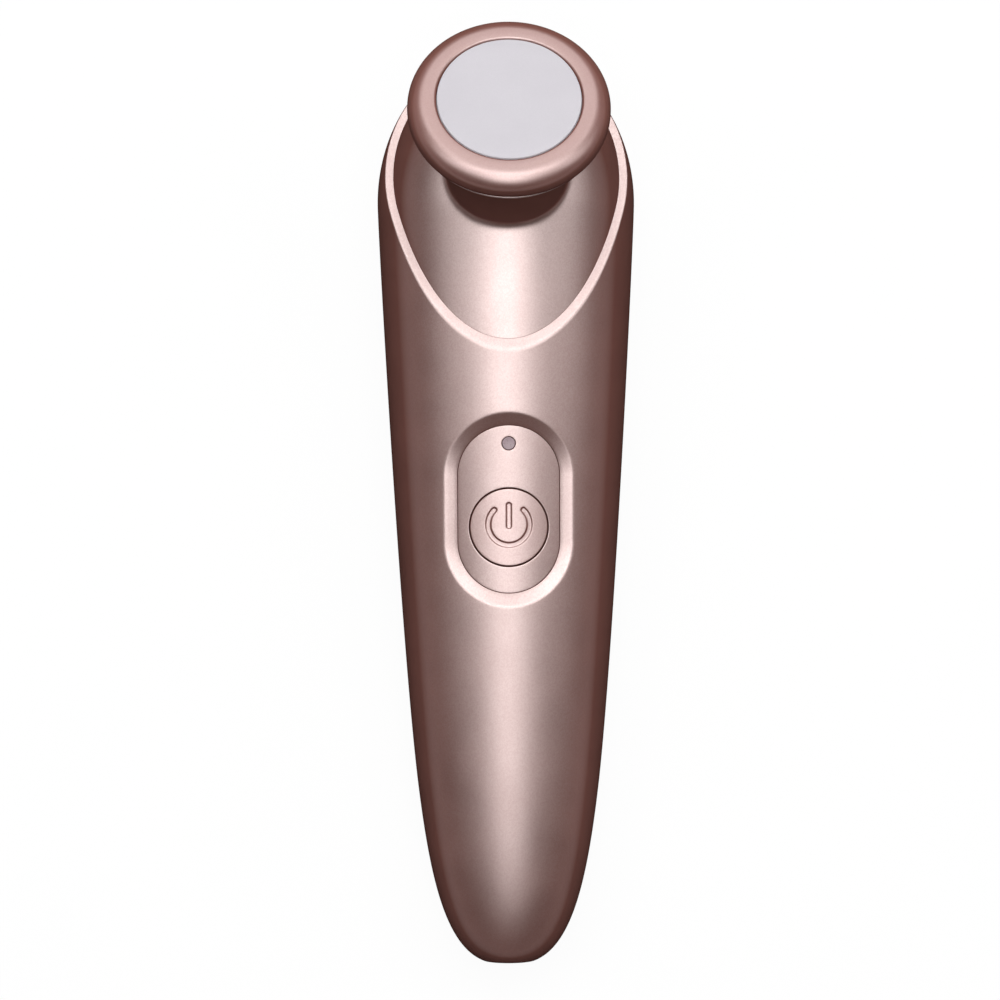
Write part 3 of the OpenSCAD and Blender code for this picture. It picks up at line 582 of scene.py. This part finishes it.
def spaced_rows(hits):
    """Evenly spaced rows from under the neck's top to the collar cut, with a last one close to it."""
    under_top = to_head(hits)[..., 2] < NECK_TOP - EDGE_ROUND
    rows = np.empty((COVER_ROWS, COVER_SIDES, 3))
    for c in range(COVER_SIDES):
        path = hits[:, c][under_top[:, c]]
        run = np.concatenate([[0], np.cumsum(np.linalg.norm(np.diff(path, axis=0), axis=1))])
        want = np.append(np.linspace(0, run[-1] - CREASE, COVER_ROWS - 1), run[-1])
        rows[:, c] = np.stack([np.interp(want, run, path[:, k]) for k in range(3)], -1)
    return rows


def neck_cover_mesh():
    height = ((COLLAR_POINT - HEAD_POINT) @ COLLAR_NORMAL) / (NECK_AXIS @ COLLAR_NORMAL)
    centre = HEAD_POINT + height * NECK_AXIS
    across = np.array([1.0, 0, 0])
    forward = np.cross(NECK_AXIS, across)
    turns = np.linspace(0, 2 * math.pi, COVER_SIDES, endpoint=False)
    out = np.cos(turns)[:, None] * across + np.sin(turns)[:, None] * forward
    neck_radius = NECK_HALF / np.hypot(np.cos(turns), np.sin(turns) / NECK_SQUASH)

    # Each ray leans from the axis, between the neck's top and the collar cut
    top = np.arctan2(neck_radius - EDGE_ROUND, NECK_TOP - height)
    low = np.arctan2(NECK_AXIS @ COLLAR_NORMAL, -(out @ COLLAR_NORMAL))
    lean = top[None, :] + np.linspace(0, 1, RAY_STEPS)[:, None] * (low - top)[None, :]
    ways = np.cos(lean)[..., None] * NECK_AXIS + np.sin(lean)[..., None] * out[None]
    rows = spaced_rows(cover_hits(centre, ways))

    # From inside the neck over its rounded top, down the rows, and in under the collar
    top_centre = HEAD_POINT + NECK_TOP * NECK_AXIS
    insets = (0, EDGE_ROUND, NECK_WALL)
    rim, tuck, hollow = (top_centre + (neck_radius - inset)[:, None] * out for inset in insets)
    work = Patchwork()
    lip = [work.row(hollow - NECK_AXIS), work.row(hollow)]
    lip += [work.row(points) for points in corner(rows[0], rim, tuck)[:0:-1]]
    skirt = [work.row(rows[-1] - drop * COLLAR_NORMAL - SKIRT_TUCK * out) for drop in SKIRT_DROPS]
    work.join(lip + [work.row(points) for points in rows] + skirt)
    return work.mesh(outward=tuple(centre))


piece("neck_cover_skin", neck_cover_mesh(), "housing", "cover_paint", "neck_cover", thickness=COVER_SHEET)

# The head: profiles of (radius, height) about its axis, from the ring's face

ON_AXIS = 0.001
CUP_TOP = -RING_THICK - CUP_GAP
SHOULDER_LEVEL = -LIP_THICK - SLIP
DISC_BACK = SHOULDER_LEVEL - DISC_THICK
CARRIER_TOP = DISC_BACK - GASKET_THICK
SPIGOT_TOP = CARRIER_TOP - SPIGOT_SUNK
BEVEL_FOOT, BEVEL_CURVE, BEVEL_FLAT = (0.02, -0.42), ((0.08, -0.3), (0.2, 0), (0.5, 0)), (1.3, 0)
CUP_EDGE, FOOT_EDGE = 0.38, ((0.75, 0.12), (0.6, 0.02), (0.45, 0))
DISC_EDGE, DISC_RINGS, BACK_RING = 0.12, (0.3, 4, 8, 11), 8


def ring_profile():
    """A bevel from the window's wall to the flat face, the rounded rim, and seats for the cup and disc."""
    core = RING_RADIUS - RING_ROUND
    upper = arc((core, -RING_ROUND), RING_ROUND, 90, 0, steps=18)
    lower = arc((core, -RING_THICK + RING_ROUND), RING_ROUND, 0, -90, steps=18)
    bevel = [(0, -LIP_THICK), BEVEL_FOOT] + corner(*BEVEL_CURVE, steps=5) + [BEVEL_FLAT]
    face = [(WINDOW_RADIUS + out, level) for out, level in bevel]
    spigot, disc = CUP_SPIGOT + FIT, DISC_RADIUS + FIT
    seats = [(spigot, -RING_THICK), (spigot, CARRIER_TOP), (disc, CARRIER_TOP), (disc, -LIP_THICK)]
    return face + upper + lower + seats


def cup_profile():
    """The hollow side, the rounded lip under the ring, and the foot on the neck's top."""
    low, foot = CUP_TOP - CUP_LIP, NECK_TOP + SLIP
    inside = [(LEAD_BORE, foot), (LEAD_BORE, low), (CUP_BORE, low), (CUP_BORE, SPIGOT_TOP),
              (CUP_SPIGOT, SPIGOT_TOP), (CUP_SPIGOT, CUP_TOP)]
    lip = arc((CUP_RADIUS - CUP_EDGE, CUP_TOP - CUP_EDGE), CUP_EDGE, 90, 0)
    lip += arc((CUP_RADIUS - CUP_EDGE, low + CUP_EDGE), CUP_EDGE, 0, -60)
    return inside + lip + [(NECK_HALF + out, foot + up) for out, up in FOOT_EDGE]


def disc_profile():
    """A face that fills the window, on a shoulder under the ring's lip."""
    face, reach = -DISC_SUNK, WINDOW_RADIUS - FIT
    middle = [(ON_AXIS, DISC_BACK)] + [(radius, face) for radius in (ON_AXIS, *DISC_RINGS)]
    rim = arc((reach - DISC_EDGE, face - DISC_EDGE), DISC_EDGE, 90, 0)
    shoulder = [(reach, SHOULDER_LEVEL), (DISC_RADIUS, SHOULDER_LEVEL)]
    return middle + rim + shoulder + [(DISC_RADIUS, DISC_BACK), (BACK_RING, DISC_BACK)]


piece("head_ring_skin", head_lathe(ring_profile(), 192), "housing", "ring_paint", "head_ring")
piece("head_cup_skin", head_lathe(cup_profile()), "housing", "cover_paint", "head_cup")
piece("plasma_disc_skin", head_lathe(disc_profile()), "housing", "ceramic_face", "plasma_disc")

# The control panel: plates drawn in plan, with their edges rounded

BUTTON_CENTRE, DOT_CENTRE = (0, -BUTTON_AT), (0, DOT_AT)
PANEL_LINE = inset_outline(PANEL_DEPTH)
PILL_SIDES, BUTTON_SIDES, DOT_SIDES = 220, 132, 40
PLATE_ROLL, HOLE_ROLL, BUTTON_ROLL = 0.08, 0.16, 0.16
PLATE_GRID, PLATE_CLEAR = 0.45, 0.15
PLATE_UNDER, PLATE_SIDE = PLATE_THICK - 0.03, PLATE_THICK - 0.15
WALL_WIDTH, WALL_START, WALL_MIDDLE = 0.4, 0.04, 0.16
COARSE_GRID, COARSE_OFF = 0.26, 0.29
FINE_GRID, FINE_WITHIN = 0.07, 0.26
BUTTON_REACH, BUTTON_CLEAR = 7, 0.12
GRID_ROW = 0.866


def pill_ring(radius, count):
    """Points of a pill's outline in plan, anticlockwise."""
    bend = math.pi * radius
    total = 2 * (PANEL_SPAN + bend)
    out = []
    for k in range(count):
        d = total * k / count
        if d < bend:
            turn = d / radius
            out.append((radius * math.cos(turn), PILL_TOP + radius * math.sin(turn)))
        elif d < bend + PANEL_SPAN:
            out.append((-radius, PILL_TOP - (d - bend)))
        elif d < 2 * bend + PANEL_SPAN:
            turn = math.pi + (d - bend - PANEL_SPAN) / radius
            out.append((radius * math.cos(turn), PILL_LOW + radius * math.sin(turn)))
        else:
            out.append((radius, PILL_LOW + (d - 2 * bend - PANEL_SPAN)))
    return np.array(out)


def distance_from(points, centre):
    return np.hypot(points[:, 0] - centre[0], points[:, 1] - centre[1])


def pill_distance(points):
    """Distance from the pill's middle line."""
    return distance_from(points, pill_middle(points).T)


def triangular_grid(low, high, spacing):
    """Rows of points in plan, every second row half a step aside."""
    xs = np.arange(low[0], high[0], spacing)
    ys = np.arange(low[1], high[1], spacing * GRID_ROW)
    return np.array([(x + (0.5 * spacing if j % 2 else 0), y) for j, y in enumerate(ys) for x in xs])


def face_sheet(work, rings, grid, kept, surface, flip=False):
    """Fills the plan between rings with triangles laid on a surface, and returns the rings' points."""
    edges, loops, start = [], [], 0
    for ring in rings:
        count = len(ring)
        edges += [(start + i, start + (i + 1) % count) for i in range(count)]
        loops.append(range(start, start + count))
        start += count
    points = [Vector(p) for p in np.concatenate([*rings, grid])]
    found, _, faces, origins, _, _ = delaunay_2d_cdt(points, edges, [], 0, 1e-7)
    found = np.array([tuple(v) for v in found])
    row = work.row(surface(found[:, 0], found[:, 1]))
    where = {source: row[k] for k, sources in enumerate(origins) for source in sources}
    middles = np.array([found[list(f)].mean(0) for f in faces])
    for face, keep in zip(faces, kept(middles)):
        if keep:
            work.faces.append(tuple(row[i] for i in (face[::-1] if flip else face)))
    return [[where[i] for i in loop] for loop in loops]


def panel_point(x, station, drop=0):
    """A point on the surface that the panel's pieces share, or under it."""
    half = np.interp(station, PANEL_LINE[:, 0], PANEL_LINE[:, 1])
    squash = inset_squash(FRONT_RATIO, PANEL_DEPTH, PANEL_DEPTH)
    level = squash * np.sqrt(half ** 2 - np.asarray(x, float) ** 2)
    return from_body(np.stack([x, station, level - drop], -1))


def rolled(radius):
    """Steps outwards and down over an edge."""
    return corner((0, 0), (radius, 0), (radius, radius))[1:]


def control_panel_mesh():
    button_hole = BUTTON_RADIUS + BUTTON_GAP + HOLE_ROLL
    dot_hole = DOT_RADIUS + SLIP + HOLE_ROLL

    def within(points, clear=0):
        beside = distance_from(points, BUTTON_CENTRE) > button_hole + clear
        beside &= distance_from(points, DOT_CENTRE) > dot_hole + clear
        return beside & (pill_distance(points) < PANEL_RADIUS - PLATE_ROLL - clear)

    reach = np.array([PANEL_RADIUS, PANEL_RADIUS + PANEL_SPAN / 2])
    grid = triangular_grid(-reach - (0, PANEL_AT), reach - (0, PANEL_AT), PLATE_GRID)
    grid = grid[within(grid, PLATE_CLEAR)]
    rings = [pill_ring(PANEL_RADIUS - PLATE_ROLL, PILL_SIDES),
             circle_ring(BUTTON_CENTRE, button_hole, BUTTON_SIDES),
             circle_ring(DOT_CENTRE, dot_hole, DOT_SIDES)]
    ways = [pill_ring(PANEL_RADIUS, PILL_SIDES) - pill_ring(PANEL_RADIUS - 1, PILL_SIDES),
            -circle_ring((0, 0), 1, BUTTON_SIDES), -circle_ring((0, 0), 1, DOT_SIDES)]
    work = Patchwork()
    above = face_sheet(work, rings, grid, within, panel_point)
    below = face_sheet(work, rings, grid, within, lambda x, y: panel_point(x, y, PLATE_UNDER), flip=True)
    for ring, way, roll, top, low in zip(rings, ways, (PLATE_ROLL, HOLE_ROLL, HOLE_ROLL), above, below):
        sides = [top]
        for out, drop in rolled(roll) + [(roll, PLATE_SIDE)]:
            p = ring + way * out
            sides.append(work.row(panel_point(p[:, 0], p[:, 1], drop)))
        work.join(sides + [low])
    return work.mesh()


def symbol_distance(points):
    """Distance from the middle line of the power symbol."""
    across, up = points[:, 0], points[:, 1] + BUTTON_AT - SYMBOL_RISE
    middle = SYMBOL_RADIUS - SYMBOL_LINE / 2
    turn = np.abs(np.arctan2(across, up))
    end = math.pi / 4
    beyond = np.hypot(np.abs(across) - middle * math.sin(end), up - middle * math.cos(end))
    ring = np.where(turn > end, np.abs(np.hypot(across, up) - middle), beyond)
    bar = np.hypot(across, up - np.clip(up, *SYMBOL_BAR))
    return np.minimum(ring, bar)


def power_button_mesh():
    """The button with its sunk symbol, and its flange and stem under the plate."""
    half_line = SYMBOL_LINE / 2
    low, high = (np.array([reach, reach - BUTTON_AT]) for reach in (-BUTTON_REACH, BUTTON_REACH))

    def from_wall(points):
        return np.abs(symbol_distance(points) - half_line + WALL_MIDDLE)

    def within(points):
        return distance_from(points, BUTTON_CENTRE) < BUTTON_RADIUS

    def top(x, station):
        inward = half_line + WALL_START - symbol_distance(np.stack([x, station], -1))
        t = np.clip(inward / WALL_WIDTH, 0, 1)
        return panel_point(x, station, SYMBOL_DEPTH * t * t * (3 - 2 * t))

    coarse, fine = (triangular_grid(low, high, spacing) for spacing in (COARSE_GRID, FINE_GRID))
    grid = np.concatenate([coarse[from_wall(coarse) >= COARSE_OFF], fine[from_wall(fine) < FINE_WITHIN]])
    grid = grid[distance_from(grid, BUTTON_CENTRE) < BUTTON_RADIUS - BUTTON_ROLL - BUTTON_CLEAR]
    ring = circle_ring(BUTTON_CENTRE, BUTTON_RADIUS - BUTTON_ROLL, BUTTON_SIDES)
    way = circle_ring((0, 0), 1, BUTTON_SIDES)
    work = Patchwork()
    sides = face_sheet(work, [ring], grid, within, top)
    for out, drop in rolled(BUTTON_ROLL):
        p = ring + way * out
        sides.append(work.row(panel_point(p[:, 0], p[:, 1], drop)))
    flange = BED_LEVEL - SLIP
    under = flange - FLANGE_THICK
    for radius, level in [(BUTTON_RADIUS, flange), (FLANGE_RADIUS, flange), (FLANGE_RADIUS, under),
                          (STEM_RADIUS, under), (STEM_RADIUS, STEM_LEVEL), (ON_AXIS, STEM_LEVEL)]:
        sides.append(work.row(level_ring(from_body, BUTTON_CENTRE, radius, level, BUTTON_SIDES)))
    work.join(sides)
    return work.mesh()


def light_pipe_mesh():
    """The small window: a shallow dish at the top of a clear peg."""
    dish = [(ON_AXIS, 0.2), (0.4, 0.19), (0.75, 0.15), (0.95, 0.1), (1.05, 0.09), (1.12, 0.12)]
    work = Patchwork()
    rows = []
    for radius, drop in dish + [(DOT_RADIUS, 0.22)]:
        ring = circle_ring(DOT_CENTRE, radius, DOT_SIDES)
        rows.append(work.row(panel_point(ring[:, 0], ring[:, 1], drop)))
    for radius in (DOT_RADIUS, ON_AXIS):
        rows.append(work.row(level_ring(from_body, DOT_CENTRE, radius, DOT_FOOT, DOT_SIDES)))
    work.join(rows)
    return work.mesh()


piece("control_panel_skin", control_panel_mesh(), "housing", "panel_paint", "control_panel")
piece("power_button_skin", power_button_mesh(), "button", "button_paint", "power_button")
piece("light_pipe_skin", light_pipe_mesh(), "housing", "light_window", "light_pipe")

# Materials: noise scales are per metre, and bump heights in metres


def opaque(value):
    """A colour with its alpha, or any other value as it is."""
    return (*value, 1) if isinstance(value, tuple) and len(value) == 3 else value


class Finish:
    """A procedural material on the surface shader: the helpers return node outputs."""

    def __init__(self, name):
        self.material = bpy.data.materials.new(name)
        self.material.use_nodes = True
        self.tree = self.material.node_tree
        self.shader = self.tree.nodes["Principled BSDF"]
        self.place = self.node("ShaderNodeTexCoord").outputs["Object"]

    def feed(self, socket, value):
        if isinstance(value, bpy.types.NodeSocket):
            self.tree.links.new(value, socket)
        else:
            socket.default_value = value

    def node(self, kind, **inputs):
        made = self.tree.nodes.new(kind)
        for key, value in inputs.items():
            self.feed(made.inputs[key.replace("_", " ")], value)
        return made

    def noise(self, scale, detail=3, stretch=None):
        place = self.place
        if stretch:
            place = self.node("ShaderNodeMapping", Vector=place, Scale=stretch).outputs[0]
        return self.node("ShaderNodeTexNoise", Vector=place, Scale=scale, Detail=detail).outputs["Fac"]

    def spread(self, value, low, high, start=0.3, end=0.7):
        span = {"From_Min": start, "From_Max": end, "To_Min": low, "To_Max": high}
        return self.node("ShaderNodeMapRange", Value=value, **span).outputs[0]

    def mix(self, factor, dark, light):
        made = self.tree.nodes.new("ShaderNodeMix")
        made.data_type = "RGBA"
        colours = [k for k in made.inputs if k.type == "RGBA"]
        self.feed(made.inputs[0], factor)
        self.feed(colours[0], opaque(dark))
        self.feed(colours[1], opaque(light))
        return [k for k in made.outputs if k.type == "RGBA"][0]

    def bump(self, height, distance, **more):
        return self.node("ShaderNodeBump", Height=height, Distance=distance, **more).outputs[0]

    def set(self, **inputs):
        for key, value in inputs.items():
            self.feed(self.shader.inputs[key.replace("_", " ")], opaque(value))
        return self.material


def shade(colour, factor):
    return tuple(min(c * factor, 1) for c in colour)


PAINT_BASE = (0.148, 0.063, 0.052)
SHEEN = (0.95, 0.765, 0.74)
SHEEN_REACH = 0.42
FLAKE_SCALE, FLAKE_BUMP, FLAKE_GLEAM = 5200, 0.0000028, 0.09
ORANGE_PEEL = 0.000004


def pearl_paint(name, base, depth, rough=0.42, grain=1.0):
    """A deep base under flakes that lie flat, so that the sheen fades where the paint is seen edge on."""
    f = Finish(name)
    cells = f.node("ShaderNodeTexVoronoi", Vector=f.place, Scale=FLAKE_SCALE).outputs["Color"]
    speck = f.spread(cells, 0, 1, 0.15, 0.85)
    cloud = f.noise(140, 3)
    tint = f.mix(f.spread(cloud, 0, 1), shade(base, 0.95), shade(base, 1.05))
    gleam = f.mix(speck, shade(SHEEN, 1 - FLAKE_GLEAM * grain), shade(SHEEN, 1 + FLAKE_GLEAM * grain))
    facing = f.node("ShaderNodeLayerWeight", Blend=0.5).outputs["Facing"]
    sheen_level = f.spread(facing, 1, 0, 0, SHEEN_REACH)
    sheen_level.node.interpolation_type = "SMOOTHSTEP"
    skin = f.bump(f.noise(900, 2), ORANGE_PEEL, Normal=f.bump(speck, FLAKE_BUMP * grain))
    return f.set(Base_Color=tint, IOR=depth, Specular_Tint=gleam, Specular_IOR_Level=sheen_level,
                 Roughness=f.spread(cloud, rough - 0.02, rough + 0.02), Normal=skin)


def moulded(name, colour, rough=0.5, bump=0.00002, scale=2500):
    f = Finish(name)
    grain = f.noise(scale, 4)
    cloud = f.noise(scale * 0.08, 3)
    tint = f.mix(f.spread(cloud, 0, 1), shade(colour, 0.88), shade(colour, 1.1))
    roughness = f.spread(grain, rough - 0.08, rough + 0.08)
    return f.set(Base_Color=tint, Roughness=roughness, Normal=f.bump(grain, bump))


def worked_metal(name, colour, rough, stretch=(1, 1, 1)):
    f = Finish(name)
    lines = f.noise(2600, 3, stretch)
    cloud = f.noise(300, 4)
    tint = f.mix(f.spread(cloud, 0, 1), shade(colour, 0.82), shade(colour, 1.08))
    roughness = f.spread(lines, rough - 0.1, rough + 0.12)
    return f.set(Base_Color=tint, Metallic=1.0, Roughness=roughness, Normal=f.bump(lines, 0.000006))


def ceramic(name):
    """Ground ceramic: a pale matt face with a fine tooth and faint cloudiness."""
    dark, light, tooth_tint = (0.475, 0.455, 0.485), (0.50, 0.48, 0.51), (0.43, 0.41, 0.445)
    f = Finish(name)
    tooth = f.noise(5200, 4)
    cloud = f.noise(120, 4)
    tint = f.mix(f.spread(cloud, 0, 1), dark, light)
    tint = f.mix(f.spread(tooth, 0, 0.3), tint, tooth_tint)
    return f.set(Base_Color=tint, Roughness=f.spread(tooth, 0.62, 0.78), Normal=f.bump(tooth, 0.000006))


def circuit_board(name):
    """Green solder mask over copper: traces show as faint raised lines."""
    dark, light, track_tint = (0.012, 0.10, 0.05), (0.02, 0.15, 0.075), (0.03, 0.24, 0.11)
    f = Finish(name)
    tracks = f.node("ShaderNodeTexBrick", Vector=f.place, Scale=240.0).outputs["Fac"]
    cloud = f.noise(700, 3)
    tint = f.mix(f.spread(cloud, 0, 1), dark, light)
    tint = f.mix(tracks, tint, track_tint)
    return f.set(Base_Color=tint, Roughness=f.spread(cloud, 0.28, 0.4), Normal=f.bump(tracks, 0.00002))


FINISHES = {
    "shell_paint": pearl_paint("shell_paint", PAINT_BASE, 2.95),
    "cover_paint": pearl_paint("cover_paint", PAINT_BASE, 3.3),
    "ring_paint": pearl_paint("ring_paint", shade(PAINT_BASE, 1.15), 2.5, 0.4, 0.6),
    "panel_paint": pearl_paint("panel_paint", PAINT_BASE, 2.95),
    "button_paint": pearl_paint("button_paint", shade(PAINT_BASE, 1.3), 2.95),
    "ceramic_face": ceramic("ceramic_face"),
    "silicone": moulded("silicone", (0.05, 0.05, 0.055), 0.7),
    "contact_brass": worked_metal("contact_brass", (0.80, 0.58, 0.26), 0.32),
    "spring_steel": worked_metal("spring_steel", (0.60, 0.61, 0.63), 0.28),
    "insulator": moulded("insulator", (0.74, 0.73, 0.70), 0.5),
    "potting": moulded("potting", (0.018, 0.018, 0.02), 0.22, 0.00004, 500),
    "wire_sleeve": moulded("wire_sleeve", (0.42, 0.03, 0.022), 0.45, 0.00001),
    "light_window": moulded("light_window", (0.30, 0.215, 0.235), 0.3, 0.000004),
    "led_body": moulded("led_body", (0.80, 0.77, 0.58), 0.25),
    "black_plastic": moulded("black_plastic", (0.02, 0.02, 0.021), 0.5),
    "circuit_board": circuit_board("circuit_board"),
    "cell_can": moulded("cell_can", (0.025, 0.09, 0.30), 0.3, 0.00002, 600),
    "foam": moulded("foam", (0.03, 0.03, 0.03), 0.9, 0.0001, 2200),
    "socket_steel": worked_metal("socket_steel", (0.56, 0.56, 0.58), 0.3, (1, 0.08, 1)),
    "screw_steel": worked_metal("screw_steel", (0.52, 0.52, 0.55), 0.34),
}
SLOTS = {row["node"]: row["material_slot"] for row in frame["record"]["subparts"]}

for thing, slot in [(thing, SLOTS[node]) for node, thing in frame["nodes"].items()] + skins:
    thing.data.materials.clear()
    thing.data.materials.append(FINISHES[slot])

# Floor, light and world, with lengths in metres

FLOOR_HALF, FLOOR_LEVEL = 3, -0.0003
FLOOR_ALBEDO, FLOOR_GLOW = 0.05, 0.94
WORLD_STRENGTH = 0.02
LAMP_REACH, LAMP_AIM = 1.1, Vector((0, 0, 0.02))


def seen_directly(tree):
    """One for camera, glossy and transmission rays, else nothing."""
    path = tree.nodes.new("ShaderNodeLightPath")
    ways = [path.outputs[k] for k in ("Is Camera Ray", "Is Glossy Ray", "Is Transmission Ray")]
    total = ways[0]
    for way in ways[1:]:
        either = tree.nodes.new("ShaderNodeMath")
        either.operation = "MAXIMUM"
        tree.links.new(total, either.inputs[0])
        tree.links.new(way, either.inputs[1])
        total = either.outputs[0]
    return total


def make_floor():
    data = bpy.data.meshes.new("floor")
    corners = [(-1, -1), (1, -1), (1, 1), (-1, 1)]
    data.from_pydata([(x * FLOOR_HALF, y * FLOOR_HALF, FLOOR_LEVEL) for x, y in corners], [], [(0, 1, 2, 3)])
    thing = bpy.data.objects.new("floor", data)
    bpy.context.scene.collection.objects.link(thing)
    f = Finish("floor")
    cloud = f.spread(f.noise(40, 3), 0, 1)
    f.set(Base_Color=f.mix(cloud, (FLOOR_ALBEDO,) * 3, (FLOOR_ALBEDO * 1.04,) * 3), Roughness=0.9)
    glow = f.spread(seen_directly(f.tree), 0, FLOOR_GLOW, 0, 1)
    f.set(Specular_IOR_Level=0, Emission_Color=(1, 1, 1), Emission_Strength=glow)
    data.materials.append(f.material)


def make_world():
    world = bpy.data.worlds.new("world")
    bpy.context.scene.world = world
    world.use_nodes = True
    world.node_tree.nodes["Background"].inputs["Strength"].default_value = WORLD_STRENGTH


def softbox(name, across, along, wide, long, strength, reach=LAMP_REACH):
    """A soft lamp aimed at the wand: where it hangs and how much it fills, in degrees across and along."""
    across, along = math.radians(across), math.radians(along)
    data = bpy.data.lights.new(name, "AREA")
    data.shape = "RECTANGLE"
    data.size, data.size_y = (2 * reach * math.tan(math.radians(angle / 2)) for angle in (wide, long))
    data.energy = strength * data.size * data.size_y * math.pi
    thing = bpy.data.objects.new(name, data)
    bpy.context.scene.collection.objects.link(thing)
    forward = math.cos(along)
    thing.location = reach * Vector((math.sin(across) * forward, math.sin(along), math.cos(across) * forward))
    thing.rotation_euler = (LAMP_AIM - thing.location).to_track_quat("-Z", "Y").to_euler()


make_floor()
make_world()
softbox("overhead", across=-2, along=-3.5, wide=28, long=34, strength=2.45)
softbox("overhead_wide", across=2, along=0, wide=72, long=30, strength=1.6, reach=1.12)
softbox("left", across=-38, along=9, wide=28, long=34, strength=1.9)
softbox("right", across=47, along=11, wide=34, long=36, strength=1.75)
softbox("brow", across=0, along=31, wide=56, long=24, strength=3.0)
softbox("head_light", across=-6, along=64, wide=44, long=26, strength=3.1)

view = bpy.context.scene.view_settings
view.view_transform = "Standard"
